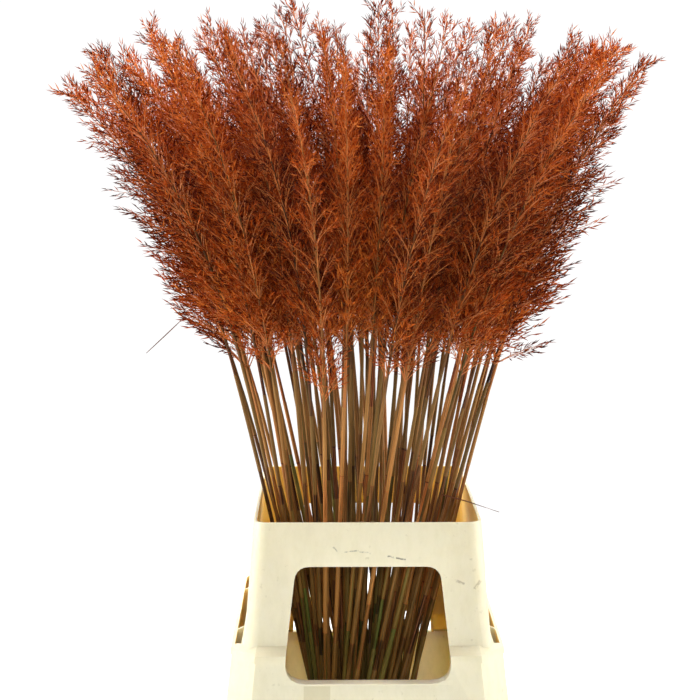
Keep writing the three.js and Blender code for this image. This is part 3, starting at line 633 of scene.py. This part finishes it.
def plume_tree(branch):
    """Turns the lines of a bunch into culms, and raises whorls of branches on their plumes."""
    tree, given = new_tree("reed_grass_bunch", {
        "Geometry": "NodeSocketGeometry", "Branches at the base": FLOAT,
        "Branches at the tip": FLOAT, "Branch size": FLOAT, "Lean at the base": FLOAT,
        "Lean at the tip": FLOAT, "Culm sides": WHOLE, "Spikelet length": FLOAT,
        "Spikelet width": FLOAT, "Seed": WHOLE, "Culm": MATERIAL, "Stalk": MATERIAL,
        "Spikelet": MATERIAL,
    })
    lines = add(tree, "GeometryNodeMeshToCurve", {0: given["Geometry"]})
    radius = add(tree, "GeometryNodeInputNamedAttribute", {0: "radius"})
    section = add(tree, "GeometryNodeCurvePrimitiveCircle",
                  {"Resolution": given["Culm sides"], "Radius": 1.0})
    where = add(tree, "GeometryNodeInputPosition")
    section = add(tree, "GeometryNodeStoreNamedAttribute",
                  {0: section, "Name": "section", "Value": where}, data_type="FLOAT_VECTOR")
    culms = add(tree, "GeometryNodeCurveToMesh",
                {0: lines, 1: section, "Scale": radius, "Fill Caps": True})
    culms = add(tree, "GeometryNodeStoreNamedAttribute",
                {0: culms, "Name": "part", "Value": float(CULM)})
    culms = add(tree, "GeometryNodeSetShadeSmooth", {0: culms})

    plume = add(tree, "GeometryNodeInputNamedAttribute", {0: "plume"})
    from_middle = add(tree, "ShaderNodeMath", {0: plume, 1: PLUME_MIDDLE}, operation="SUBTRACT")
    off_middle = add(tree, "ShaderNodeMath", {0: from_middle}, operation="ABSOLUTE")
    in_plume = add(tree, "FunctionNodeCompare", {0: off_middle, 1: PLUME_HALF}, operation="LESS_THAN")
    rachis = add(tree, "GeometryNodeSeparateGeometry", {0: lines, 1: in_plume})
    points = add(tree, "GeometryNodeCurveToPoints", {0: rachis}, mode="EVALUATED")
    fullness = add(tree, "ShaderNodeMapRange",
                   {"Value": plume, "To Min": given["Branches at the base"],
                    "To Max": given["Branches at the tip"]})
    repeats = add(tree, "GeometryNodeDuplicateElements",
                  {0: points, "Amount": fullness}, domain="POINT")
    shift = add(tree, "FunctionNodeRandomValue",
                {"Min": -ROOT_SHIFT, "Max": ROOT_SHIFT, "Seed": given["Seed"]})
    lift = add(tree, "ShaderNodeCombineXYZ", {"Z": shift.outputs[1]})
    turned_lift = add(tree, "FunctionNodeRotateVector", {0: lift, 1: points.outputs["Rotation"]})
    roots = add(tree, "GeometryNodeSetPosition", {0: repeats, "Offset": turned_lift})

    sway_seed, turn_seed, growth_seed, pick_seed = (
        add(tree, "ShaderNodeMath", {0: given["Seed"], 1: step}) for step in SEED_STEPS
    )
    lean = (given["Lean at the base"], given["Lean at the tip"])
    index = add(tree, "GeometryNodeInputIndex")
    turn = spiral_turn(tree, index, plume, lean, BRANCH_SWAY, BRANCH_SPREAD, (sway_seed, turn_seed))
    rotation = add(tree, "FunctionNodeRotateRotation",
                   {0: points.outputs["Rotation"], 1: turn}, rotation_space="LOCAL")
    least, most = BRANCH_GROWTH
    chance = add(tree, "FunctionNodeRandomValue", {"Min": least, "Max": most, "Seed": growth_seed})
    at_base, at_tip = BRANCH_TAPER
    taper = add(tree, "ShaderNodeMapRange", {"Value": plume, "To Min": at_base, "To Max": at_tip})
    growth = add(tree, "ShaderNodeMath", {0: chance.outputs[1], 1: taper}, operation="MULTIPLY")
    growth = add(tree, "ShaderNodeMath", {0: growth, 1: given["Branch size"]}, operation="MULTIPLY")

    kinds = [(size, v) for size in range(len(BRANCH_SIZES)) for v in range(BRANCH_VARIANTS)]
    sprays = []
    for size, v in reversed(kinds):
        length, branchlets, branchlet_length = BRANCH_SIZES[size]
        spray = add(tree, "GeometryNodeGroup",
                    {"Length": length, "Branchlets": branchlets,
                     "Branchlet length": branchlet_length, "Seed": BRANCH_SEED_STEP * size + v,
                     "Spikelet length": given["Spikelet length"],
                     "Spikelet width": given["Spikelet width"]}, node_tree=branch)
        sprays.append(add(tree, "GeometryNodeGeometryToInstance", {0: spray}))
    variants = add(tree, "GeometryNodeJoinGeometry", {0: sprays})
    by_height = add(tree, "ShaderNodeMath",
                    {0: plume, 1: len(BRANCH_SIZES) - JUST_UNDER}, operation="MULTIPLY")
    size_class = add(tree, "ShaderNodeMath", {0: by_height}, operation="FLOOR")
    which = add(tree, "FunctionNodeRandomValue",
                {"Min": 0.0, "Max": BRANCH_VARIANTS - JUST_UNDER, "Seed": pick_seed})
    variant = add(tree, "ShaderNodeMath", {0: which.outputs[1]}, operation="FLOOR")
    pick = add(tree, "ShaderNodeMath",
               {0: size_class, 1: float(BRANCH_VARIANTS), 2: variant}, operation="MULTIPLY_ADD")
    placed = add(tree, "GeometryNodeInstanceOnPoints",
                 {"Points": roots, "Instance": variants, "Pick Instance": True,
                  "Instance Index": pick, "Rotation": rotation, "Scale": growth})
    tuft = add(tree, "FunctionNodeRandomValue", {"Seed": given["Seed"]})
    tufts = add(tree, "GeometryNodeStoreNamedAttribute",
                {0: placed, "Name": "tuft", "Value": tuft.outputs[1]}, domain="INSTANCE")

    whole = add(tree, "GeometryNodeJoinGeometry", {0: [tufts, culms]})
    painted = add(tree, "GeometryNodeRealizeInstances", {0: whole})
    part = add(tree, "GeometryNodeInputNamedAttribute", {0: "part"})
    for value, label in ((CULM, "Culm"), (STALK, "Stalk"), (SPIKELET, "Spikelet")):
        chosen = add(tree, "FunctionNodeCompare",
                     {0: part, 1: float(value), "Epsilon": 0.4}, operation="EQUAL")
        painted = add(tree, "GeometryNodeSetMaterial", {0: painted, 1: chosen, 2: given[label]})
    add(tree, "NodeGroupOutput", {0: painted})
    return tree


def set_inputs(modifier, values):
    """Sets a tree's named inputs by their sockets' identifiers."""
    for item in modifier.node_group.interface.items_tree:
        if item.item_type == "SOCKET" and item.in_out == "INPUT" and item.name in values:
            modifier[item.identifier] = values[item.name]


# Materials

def blend(tree, share, first, second):
    """A colour between two others, each a hex colour, a socket or a node."""
    ends = [linear(c) if isinstance(c, str) else c for c in (first, second)]
    mix = add(tree, "ShaderNodeMix", {0: share, 6: ends[0], 7: ends[1]}, data_type="RGBA")
    return mix.outputs[2]


def mottled(tree, scale, detail, first, second):
    """A colour that drifts in patches between two others, over the whole object."""
    place = add(tree, "ShaderNodeTexCoord").outputs["Object"]
    patches = add(tree, "ShaderNodeTexNoise", {"Vector": place, "Scale": scale, "Detail": detail})
    return blend(tree, patches, first, second)


def new_material(name):
    material = bpy.data.materials.new(name)
    material.use_nodes = True
    tree = material.node_tree
    tree.nodes.clear()
    shader = add(tree, "ShaderNodeBsdfPrincipled")
    add(tree, "ShaderNodeOutputMaterial", {0: shader})
    return material, tree, shader


def value_of(tree, name):
    return add(tree, "ShaderNodeAttribute", attribute_name=name).outputs["Fac"]


def set_stops(ramp, stops):
    """Gives a colour ramp its stops, each a place from 0 to 1 and a hex colour."""
    elements = ramp.color_ramp.elements
    for k, (place, colour) in enumerate(stops):
        stop = elements[k] if k < 2 else elements.new(place)
        stop.position = place
        stop.color = linear(colour)


BRACT_COLOURS = [(0.0, "#240902"), (0.33, "#581b04"), (0.66, "#b24c0c"), (1.0, "#ee9440")]
# Painted shade along each plume: its bracts are darkest at this share of its length and lighter away from
# it
DARKEST_AT = 0.4  # of the plume's length
LIGHTER_AWAY = 0.44
DARKEST_SHARE = -0.14
BRACT_DIFFERENCES = {"tint": 0.3, "tuft": 0.2, "glint": 0.5}  # of stems, branches and bracts


def dyed_spikelet():
    """Dried papery bracts soaked in copper dye, dull. A painted shade makes them darkest in the lower half
    of a plume and lighter towards both of its ends."""
    material, tree, shader = new_material("copper_dyed_bract")
    plume = value_of(tree, "plume")
    away = add(tree, "ShaderNodeMath", {0: plume, 1: DARKEST_AT}, operation="SUBTRACT")
    away = add(tree, "ShaderNodeMath", {0: away}, operation="ABSOLUTE")
    share = add(tree, "ShaderNodeMath",
                {0: away, 1: LIGHTER_AWAY, 2: DARKEST_SHARE}, operation="MULTIPLY_ADD")
    for name, weight in BRACT_DIFFERENCES.items():
        share = add(tree, "ShaderNodeMath",
                    {0: value_of(tree, name), 1: weight, 2: share}, operation="MULTIPLY_ADD")
    ramp = add(tree, "ShaderNodeValToRGB", {0: share})
    set_stops(ramp, BRACT_COLOURS)
    connect(tree, shader, {
        "Base Color": ramp,
        "Roughness": 0.65,
        "IOR": 1.45,
        "Specular IOR Level": 0.12,
    })
    return material


def dyed_stalk():
    """Thin dried stalks, straw showing through the dye."""
    material, tree, shader = new_material("copper_dyed_stalk")
    colour = mottled(tree, 90.0, 2.0, "#ad5016", "#e28c3c")
    connect(tree, shader, {"Base Color": colour, "Roughness": 0.55})
    return material


CULM_COLOURS = [
    (0.0, "#3a1606"), (0.12, "#8a3c0e"), (0.26, "#dc8846"), (0.4, "#c68648"), (0.52, "#9c6830"),
    (0.66, "#6c6228"), (0.82, "#7f9140"), (1.0, "#a8b566"),
]


# The length counts little against the section, so that the streaks run along the culm
STREAK_LENGTH_COUNTS = 5.0
STREAK_SHIFT = 57.0  # between stems
WEATHERED_TURNS = 9.7  # a stem's tint times this, less its whole part, is how weathered it is
WEATHERED_MOST = 0.6
SHEATH_PALER = 0.3


def culm_straw():
    """Cut grass culms: fresh green low down, olive, tan and brown above, streaked with dye."""
    material, tree, shader = new_material("reed_culm_straw")
    section = add(tree, "ShaderNodeAttribute", attribute_name="section").outputs["Vector"]
    along, hue, sheath, tint = (value_of(tree, name) for name in ("along", "hue", "sheath", "tint"))
    across = add(tree, "ShaderNodeSeparateXYZ", {0: section}).outputs
    length = add(tree, "ShaderNodeMath", {0: along, 1: STREAK_LENGTH_COUNTS}, operation="MULTIPLY")
    shifted = add(tree, "ShaderNodeMath",
                  {0: tint, 1: STREAK_SHIFT, 2: length}, operation="MULTIPLY_ADD")
    fibre = add(tree, "ShaderNodeCombineXYZ", {0: across[0], 1: across[1], 2: shifted})
    streaks = add(tree, "ShaderNodeTexNoise", {"Vector": fibre, "Scale": 1.6, "Detail": 3.0})
    fine = add(tree, "ShaderNodeTexNoise", {"Vector": fibre, "Scale": 4.5, "Detail": 2.0})
    drift = add(tree, "ShaderNodeMapRange", {"Value": streaks, "To Min": -0.3, "To Max": 0.3})
    ramp = add(tree, "ShaderNodeValToRGB", {0: add(tree, "ShaderNodeMath", {0: hue, 1: drift})})
    set_stops(ramp, CULM_COLOURS)
    fibres = add(tree, "ShaderNodeMapRange",
                 {"Value": fine, "From Min": 0.35, "From Max": 0.6, "To Max": 0.5})
    weathered = add(tree, "ShaderNodeMath", {0: tint, 1: WEATHERED_TURNS}, operation="MULTIPLY")
    weathered = add(tree, "ShaderNodeMath", {0: weathered}, operation="FRACT")
    dark = add(tree, "ShaderNodeMath",
               {0: weathered, 1: WEATHERED_MOST, 2: fibres}, operation="MULTIPLY_ADD")
    body = blend(tree, dark, ramp, "#1f1007")
    sheath_share = add(tree, "ShaderNodeMath", {0: sheath, 1: SHEATH_PALER}, operation="MULTIPLY")
    body = blend(tree, sheath_share, body, "#a5813f")
    connect(tree, shader, {"Base Color": body, "Roughness": 0.5, "Specular IOR Level": 0.2})
    bump = add(tree, "ShaderNodeBump", {"Height": fine, "Strength": 0.3, "Distance": 0.0002})
    connect(tree, shader, {"Normal": bump})
    return material


def dried_blade():
    """A leaf blade dried to straw, reddened by the dye."""
    material, tree, shader = new_material("dried_leaf_blade")
    colour = mottled(tree, 120.0, 3.0, "#5a2c18", "#8a5234")
    connect(tree, shader, {"Base Color": colour, "Roughness": 0.6})
    return material


def within(tree, place, centre, half_size, blur):
    """1 inside a box round a place on the object, fading over blur at its sides."""
    offset = add(tree, "ShaderNodeVectorMath", {0: place, 1: centre}, operation="SUBTRACT")
    size = add(tree, "ShaderNodeVectorMath", {0: offset}, operation="ABSOLUTE")
    beyond = add(tree, "ShaderNodeVectorMath", {0: half_size, 1: size}, operation="SUBTRACT")
    sides = add(tree, "ShaderNodeSeparateXYZ", {0: beyond})
    least = add(tree, "ShaderNodeMath", {0: sides.outputs[0], 1: sides.outputs[1]}, operation="MINIMUM")
    least = add(tree, "ShaderNodeMath", {0: least, 1: sides.outputs[2]}, operation="MINIMUM")
    inside = add(tree, "ShaderNodeMapRange",
                 {"Value": least, "From Min": 0.0, "From Max": blur},
                 interpolation_type="SMOOTHSTEP")
    return inside


def polypropylene(name, outside, inside):
    """Injection-moulded cream polypropylene, yellowed with age: satin and faintly dirty. Faces that
    look inwards get a painted yellow-orange glow, which stands in for light let through the plastic."""
    material, tree, shader = new_material(name)
    place = add(tree, "ShaderNodeTexCoord").outputs["Object"]
    cloud = add(tree, "ShaderNodeTexNoise", {"Vector": place, "Scale": 14.0, "Detail": 4.0})
    base = blend(tree, cloud, outside[0], outside[1])
    # Painted light: faces that look inwards, towards the middle, are blended towards the inside colours, a
    # glow that stands in for light let through the walls
    level = add(tree, "ShaderNodeVectorMath", {0: place, 1: (1, 1, 0)}, operation="MULTIPLY")
    outward = add(tree, "ShaderNodeVectorMath", {0: level}, operation="NORMALIZE")
    facing = add(tree, "ShaderNodeVectorMath",
                 {0: outward, 1: add(tree, "ShaderNodeNewGeometry").outputs["Normal"]},
                 operation="DOT_PRODUCT")
    inward_glow_share = add(tree, "ShaderNodeMapRange",
                    {"Value": facing.outputs["Value"], "From Min": -0.3, "From Max": -0.62})
    painted_glow_colour = blend(tree, cloud, inside[0], inside[1])
    base = blend(tree, inward_glow_share, base, painted_glow_colour)
    # Grime: faint specks about 3 mm across
    specks = add(tree, "ShaderNodeTexNoise", {"Vector": place, "Scale": 160.0, "Detail": 3.0})
    speck = add(tree, "ShaderNodeMapRange",
                {"Value": specks, "From Min": 0.66, "From Max": 0.78, "To Max": 0.35})
    base = blend(tree, speck, base, "#a99c72")
    # Wear: a grainy, slightly greyer bloom
    squeezed = add(tree, "ShaderNodeMapping", {"Vector": place, "Scale": (1, 1, 0.45)}, vector_type="POINT")
    worn = add(tree, "ShaderNodeTexNoise",
               {"Vector": squeezed, "Scale": 75.0, "Detail": 6.0, "Roughness": 0.72})
    bloom = add(tree, "ShaderNodeMapRange",
                {"Value": worn, "From Min": 0.42, "From Max": 0.72, "To Max": 0.3})
    base = blend(tree, bloom, base, "#cdc29a")
    return material, tree, shader, place, base, cloud


def finish_plastic(tree, shader, place, base, cloud):
    connect(tree, shader, {"Base Color": base})
    rough = add(tree, "ShaderNodeMapRange", {"Value": cloud, "To Min": 0.36, "To Max": 0.52})
    connect(tree, shader, {
        "Roughness": rough,
        "IOR": 1.49,
        "Subsurface Weight": 0.25,
        "Subsurface Radius": (0.012, 0.009, 0.005),
        "Subsurface Scale": 1.0,
    })
    sparks = add(tree, "ShaderNodeTexNoise", {"Vector": place, "Scale": 900.0, "Detail": 2.0})
    bump = add(tree, "ShaderNodeBump", {"Height": sparks, "Strength": 0.12, "Distance": 0.0003})
    connect(tree, shader, {"Normal": bump})


# Marks on the front of the collar: the middle in x and z, half length, half width and slope in
# millimetres, then how strong and in which colour
PENCIL, SMUDGE, RESIDUE, RIB_SHADE = "#4c4936", "#7c6a44", "#b7a888", "#c9ae74"
MARKS = [
    (-34.7, 431.6, 3.8, 1.0, -0.95, 0.5, PENCIL),
    (-17.5, 429.5, 8.0, 0.9, 0.08, 0.55, PENCIL),
    (-3.0, 428.0, 6.3, 1.0, -0.16, 0.45, PENCIL),
    (31.0, 422.5, 9.8, 1.2, -0.165, 0.8, PENCIL),
    (99.0, 396.0, 5.0, 2.2, -0.5, 0.5, SMUDGE),
    (117.0, 393.0, 6.0, 2.2, 1.2, 0.4, SMUDGE),
    (110.0, 420.0, 1.6, 1.2, 0.0, 0.5, SMUDGE),
    (51.5, 294.5, 10.0, 3.2, 0.0, 0.75, RESIDUE),
    # The two strips below are painted shade in the place of small moulded ribs on the sill; the ribs
    # themselves are not modelled
    (-33.6, 293.7, 0.5, 4.5, 0.0, 0.8, RIB_SHADE),
    (39.4, 293.5, 0.5, 4.5, 0.0, 0.8, RIB_SHADE),
]
MARK_WAVER = 0.003
MARK_MIDDLE_Y, MARK_HALF_DEPTH = -0.17, 0.03  # so that a mark shows on the front alone
MARK_BLUR = 0.6  # of its half width
# A rest of tape, and the window's sill, which is lightened with painted light, in metres
TAPE = ((-0.0545, -0.195, 0.279), (0.0145, 0.02, 0.0105), 0.0008)
TAPE_STRENGTH = 0.6
WINDOW_SILL = ((0, -0.185, 0.2925), (0.09, 0.03, 0.0026), 0.0004)


def collar_material():
    # The inside colours are a painted yellow-orange glow, standing in for light let through the collar's
    # walls
    material, tree, shader, place, base, cloud = polypropylene(
        "aged_cream_polypropylene_collar",
        ("#e4dab8", "#ece3c6"), ("#efbf66", "#f5cc78"),
    )
    waver = add(tree, "ShaderNodeTexNoise", {"Vector": place, "Scale": 110.0, "Detail": 2.0})
    centred = add(tree, "ShaderNodeVectorMath",
                  {0: waver.outputs["Color"], 1: (0.5, 0.5, 0.5)}, operation="SUBTRACT")
    wavering = add(tree, "ShaderNodeVectorMath",
                   {0: centred, 1: (MARK_WAVER,) * 3, 2: place}, operation="MULTIPLY_ADD")
    breaks = add(tree, "ShaderNodeTexNoise", {"Vector": place, "Scale": 420.0, "Detail": 2.0})
    inked = add(tree, "ShaderNodeMapRange", {"Value": breaks, "From Min": 0.36, "From Max": 0.56})
    for x, z, half_length, half_width, slope, strength, colour in MARKS:
        moved = add(tree, "ShaderNodeMapping", {"Vector": wavering, "Location": (-x * MM, 0, -z * MM)})
        straight = add(tree, "ShaderNodeMapping",
                       {"Vector": moved, "Rotation": (0, math.atan(slope), 0)})
        half = (half_length * MM, MARK_HALF_DEPTH, half_width * MM)
        mark = within(tree, straight, (0, MARK_MIDDLE_Y, 0), half, half_width * MM * MARK_BLUR)
        broken = add(tree, "ShaderNodeMath", {0: mark, 1: inked}, operation="MULTIPLY")
        faint = add(tree, "ShaderNodeMath", {0: broken, 1: strength}, operation="MULTIPLY")
        base = blend(tree, faint, base, colour)
    tape = add(tree, "ShaderNodeMath",
               {0: within(tree, place, *TAPE), 1: TAPE_STRENGTH}, operation="MULTIPLY")
    base = blend(tree, tape, base, "#c9be97")
    # Painted light: the sill's upward faces are lightened, as if lit from above. Only faces that look up
    # are the sill
    normal = add(tree, "ShaderNodeNewGeometry").outputs["Normal"]
    upward = add(tree, "ShaderNodeSeparateXYZ", {0: normal}).outputs[2]
    sill_painted_light = add(tree, "ShaderNodeMath",
                {0: within(tree, place, *WINDOW_SILL), 1: upward}, operation="MULTIPLY")
    base = blend(tree, sill_painted_light, base, "#fff4d6")
    finish_plastic(tree, shader, place, base, cloud)
    return material


def bucket_material():
    # The inside colours are lighter than the outside: painted light on the bucket's shaded inner walls
    material, tree, shader, place, base, cloud = polypropylene(
        "aged_cream_polypropylene_bucket",
        ("#e3d9b6", "#ebe2c4"), ("#fde2b8", "#fff0d2"),
    )
    finish_plastic(tree, shader, place, base, cloud)
    return material


def water_material():
    """Bucket water, standing a few days: partly clear, slightly green with plant juice."""
    material, tree, shader = new_material("cloudy_bucket_water")
    colour = mottled(tree, 22.0, 3.0, "#8f9b78", "#b9bf9c")
    connect(tree, shader, {
        "Base Color": colour,
        "Roughness": 0.06,
        "IOR": 1.33,
        "Transmission Weight": 0.6,
    })
    return material


def rubber_material():
    """Natural latex bands: dull amber, mottled a little lighter in places."""
    material, tree, shader = new_material("natural_latex_band")
    colour = mottled(tree, 260.0, 2.0, "#a97a3c", "#cda05c")
    connect(tree, shader, {"Base Color": colour, "Roughness": 0.7})
    return material


# Pieces

OUTER_BUNCHES_FROM = RINGS[0][0] + RINGS[1][0]
CULM_SIDES = 7
SPIKELET_LENGTH, SPIKELET_WIDTH = 0.0108, 0.0015  # metres
# On an outer and on an inner bunch
BRANCHES_AT_BASE = (9.5, 6.5)
BRANCHES_AT_TIP = (3.9, 3.1)
# A value, and what is added to it where a bunch leans to the side
BRANCH_SIZE = (0.82, 0.36)
LEAN_AT_BASE = (23, 6)
LEAN_AT_TIP = (6, 13)
PLUME_SEED, PLUME_SEED_STEP = 1000, 17

LEAF_SEGMENTS = 24
# A dried blade is rolled, so it is narrow: half widths in millimetres at its root and widest
LEAF_HALF_WIDTHS = (0.8, 1.0)
LEAF_NARROWER_AT_TIP = 0.6
LEAF_FOLD = 0.7  # how far its edges stand back from its midrib, against its half width
LEAF_ROUNDING = 0.02  # of its length, to either side of where it turns over
LEAF_TWIST = 3  # radians
LEAF_TWIST_RISE = 0.4
# How far up its culm each blade starts, and where it turns over
LEAF_STARTS = [(480, (112, -98, 469)), (655, (-205, 5, 663))]


def dried_leaf(name, stem, start_along, turn):
    """A dried leaf blade, folded along its midrib, that turns over on its way."""
    stops = np.array([point_along(stem["points"], start_along), turn, stem["leaf"]], float)
    run = np.concatenate([[0], np.cumsum(np.linalg.norm(np.diff(stops, axis=0), axis=1))])
    start, widest = LEAF_HALF_WIDTHS
    points, faces = [], []

    def on_way(t):
        return np.array([np.interp(t * run[-1], run, stops[:, axis]) for axis in range(3)])

    for i in range(LEAF_SEGMENTS + 1):
        t = i / LEAF_SEGMENTS
        before, after = on_way(max(0, t - LEAF_ROUNDING)), on_way(min(1, t + LEAF_ROUNDING))
        place = (after + before) / 2
        way = unit(after - before)
        twist = LEAF_TWIST * t
        across = unit(np.cross(way, (math.sin(twist), math.cos(twist), LEAF_TWIST_RISE)))
        keel = np.cross(across, way)
        half = start + (widest - start) * math.sin(math.pi * min(1, 2 * t))
        half *= 1 - LEAF_NARROWER_AT_TIP * t**3
        for side in (-1, 0, 1):
            points.append((place + across * side * half - keel * abs(side) * half * LEAF_FOLD) * MM)
        if i:
            a, b = 3 * (i - 1), 3 * i
            faces += [(a, a + 1, b + 1, b), (a + 1, a + 2, b + 2, b + 1)]
    mesh = bpy.data.meshes.new(name)
    mesh.from_pydata([tuple(p) for p in points], [], faces)
    mesh.materials.append(dried_blade())
    mesh.shade_smooth()
    return finished(shown(name, mesh), "dyed_grass")


def grow_bunches(bunches):
    tree = plume_tree(branch_tree(branchlet_tree(spikelet_tree())))
    looks = {"Culm": culm_straw(), "Stalk": dyed_stalk(), "Spikelet": dyed_spikelet()}
    for b, bunch in enumerate(bunches):
        number = f"{b + 1:02d}"
        is_outer = b >= OUTER_BUNCHES_FROM
        paths = bunch_paths("paths_" + number, bunch, is_outer)
        modifier = paths.modifiers.new("growth", "NODES")
        modifier.node_group = tree
        # The plumes that lean to the sides have room to spread further
        lean_x, lean_y, _ = np.mean([stem["points"][-1] for stem in bunch], axis=0)
        sideways = lean_x**2 / (lean_x**2 + lean_y**2)
        size, lean_at_base, lean_at_tip = (
            usual + more * sideways for usual, more in (BRANCH_SIZE, LEAN_AT_BASE, LEAN_AT_TIP)
        )
        set_inputs(modifier, {
            "Branches at the base": BRANCHES_AT_BASE[0 if is_outer else 1],
            "Branches at the tip": BRANCHES_AT_TIP[0 if is_outer else 1],
            "Branch size": size,
            "Lean at the base": math.radians(lean_at_base),
            "Lean at the tip": math.radians(lean_at_tip),
            "Culm sides": CULM_SIDES,
            "Spikelet length": SPIKELET_LENGTH,
            "Spikelet width": SPIKELET_WIDTH,
            "Seed": PLUME_SEED + PLUME_SEED_STEP * b,
            **looks,
        })
        piece = shown("grass_" + number, evaluated_mesh(paths))
        bpy.data.objects.remove(paths)
        finished(piece, "dyed_grass", "bunch_" + number)
    leafy = [stem for bunch in bunches for stem in bunch if "leaf" in stem]
    leafy.sort(key=lambda stem: stem["leaf_z"])
    for i, (stem, (start_along, turn)) in enumerate(zip(leafy, LEAF_STARTS), 1):
        dried_leaf(f"dried_leaf_{i}", stem, start_along, turn)


# Moulded edges, in metres and degrees
EDGE_WIDTH = 0.0011
SAME_POINT = 1e-5
FLAT_WITHIN = 0.5
EDGE_FROM = 28


def softened_copy(name, node):
    """A copy of a moulded solid with its edges rounded."""
    work = bmesh.new()
    work.from_mesh(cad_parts[node].data)
    bmesh.ops.remove_doubles(work, verts=work.verts, dist=SAME_POINT)
    flat = math.radians(FLAT_WITHIN)
    bmesh.ops.dissolve_limit(work, angle_limit=flat, verts=work.verts, edges=work.edges)
    mesh = bpy.data.meshes.new(name)
    work.to_mesh(mesh)
    work.free()
    mesh.materials.clear()
    raw = shown(name + "_raw", mesh)
    bevel = raw.modifiers.new("edges", "BEVEL")
    bevel.width = EDGE_WIDTH
    bevel.segments = 3
    bevel.limit_method = "ANGLE"
    bevel.angle_limit = math.radians(EDGE_FROM)
    made = shown(name, evaluated_mesh(raw))
    bpy.data.objects.remove(raw)
    made.data.shade_smooth()
    return made


def mould_container():
    for node, material in (("collar", collar_material()), ("bucket", bucket_material())):
        piece = softened_copy("moulded_" + node, node)
        piece.data.materials.append(material)
        finished(piece, node + "_plastic", node)


def dress_plain_nodes():
    water, rubber = water_material(), rubber_material()
    for name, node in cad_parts.items():
        look = water if name == "water" else rubber if name.startswith("band_") else None
        if look:
            node.data.materials.clear()
            node.data.materials.append(look)


# Stage, light and camera

def white_paper():
    material, tree, shader = new_material("white_studio_paper")
    colour = mottled(tree, 3.0, 2.0, "#f4f4f2", "#fafaf8")
    connect(tree, shader, {"Base Color": colour, "Roughness": 0.9})
    return material


AMBIENT = 0.17
BACKDROP = 1.05
FLOOR_REACH = 1.5  # metres


def set_stage():
    mesh = bpy.data.meshes.new("studio_floor")
    reach = FLOOR_REACH
    corners = [(-reach, -reach, 0), (reach, -reach, 0), (reach, reach, 0), (-reach, reach, 0)]
    mesh.from_pydata(corners, [], [(0, 1, 2, 3)])
    mesh.materials.append(white_paper())
    shown("studio_floor", mesh)
    world = bpy.data.worlds.new("white_studio")
    world.use_nodes = True
    tree = world.node_tree
    tree.nodes.clear()
    # The studio's walls light the object less than they show to the lens
    seen = add(tree, "ShaderNodeLightPath").outputs["Is Camera Ray"]
    strength = add(tree, "ShaderNodeMapRange", {"Value": seen, "To Min": AMBIENT, "To Max": BACKDROP})
    sky = add(tree, "ShaderNodeBackground", {0: (1, 1, 1, 1), 1: strength})
    add(tree, "ShaderNodeOutputWorld", {0: sky})
    bpy.context.scene.world = world
    bpy.context.scene.view_settings.view_transform = "Standard"


def aim_light(name, kind, place, target, watts, **settings):
    light = bpy.data.lights.new(name, kind)
    light.energy = watts
    for setting, value in settings.items():
        setattr(light, setting, value)
    made = shown(name, light)
    made.location = place
    made.rotation_euler = (Vector(target) - Vector(place)).to_track_quat("-Z", "Y").to_euler()


# Soft lights: place and target in metres, width and height, watts, spread in degrees
SOFT_LIGHTS = {
    "overhead_softbox": ((0, 1.1, 3.0), (0, 0, 0.8), (3.4, 3.0), 290, 180),
    "left_softbox": ((-2.2, 0.1, 1.5), (0, 0, 0.92), (1.0, 1.2), 8.5, 45),
    "right_softbox": ((2.2, 0.1, 1.5), (0, 0, 0.92), (1.0, 1.2), 6.5, 45),
    "front_key": ((-1.3, -2.4, 1.5), (0, 0, 0.6), (0.5, 0.5), 4, 180),
    "table_bounce": ((0, -1.7, 0.12), (0, 0, 0.65), (1.6, 0.5), 9, 180),
}


def set_light():
    for name, (place, target, (width, height), watts, spread) in SOFT_LIGHTS.items():
        aim_light(name, "AREA", place, target, watts,
                  spread=math.radians(spread), shape="RECTANGLE", size=width, size_y=height)
    aim_light("container_key", "SPOT", (0, -2.5, 1.2), (0, 0.1, 0.3), 56,
              spot_size=math.radians(8), spot_blend=0.35, shadow_soft_size=0.15)


def set_camera():
    lens = bpy.data.cameras.new("camera")
    lens.lens = CAMERA_LENS
    lens.sensor_width = 36.0
    lens.clip_end = 50.0
    camera = shown("camera", lens)
    camera.location = CAMERA_PLACE
    camera.rotation_euler = (math.radians(90 - CAMERA_PITCH), 0, math.radians(-CAMERA_YAW))
    bpy.context.scene.camera = camera


set_camera()
sheaf = lay_out_sheaf()
grow_bunches(sheaf)
mould_container()
dress_plain_nodes()
set_stage()
set_light()
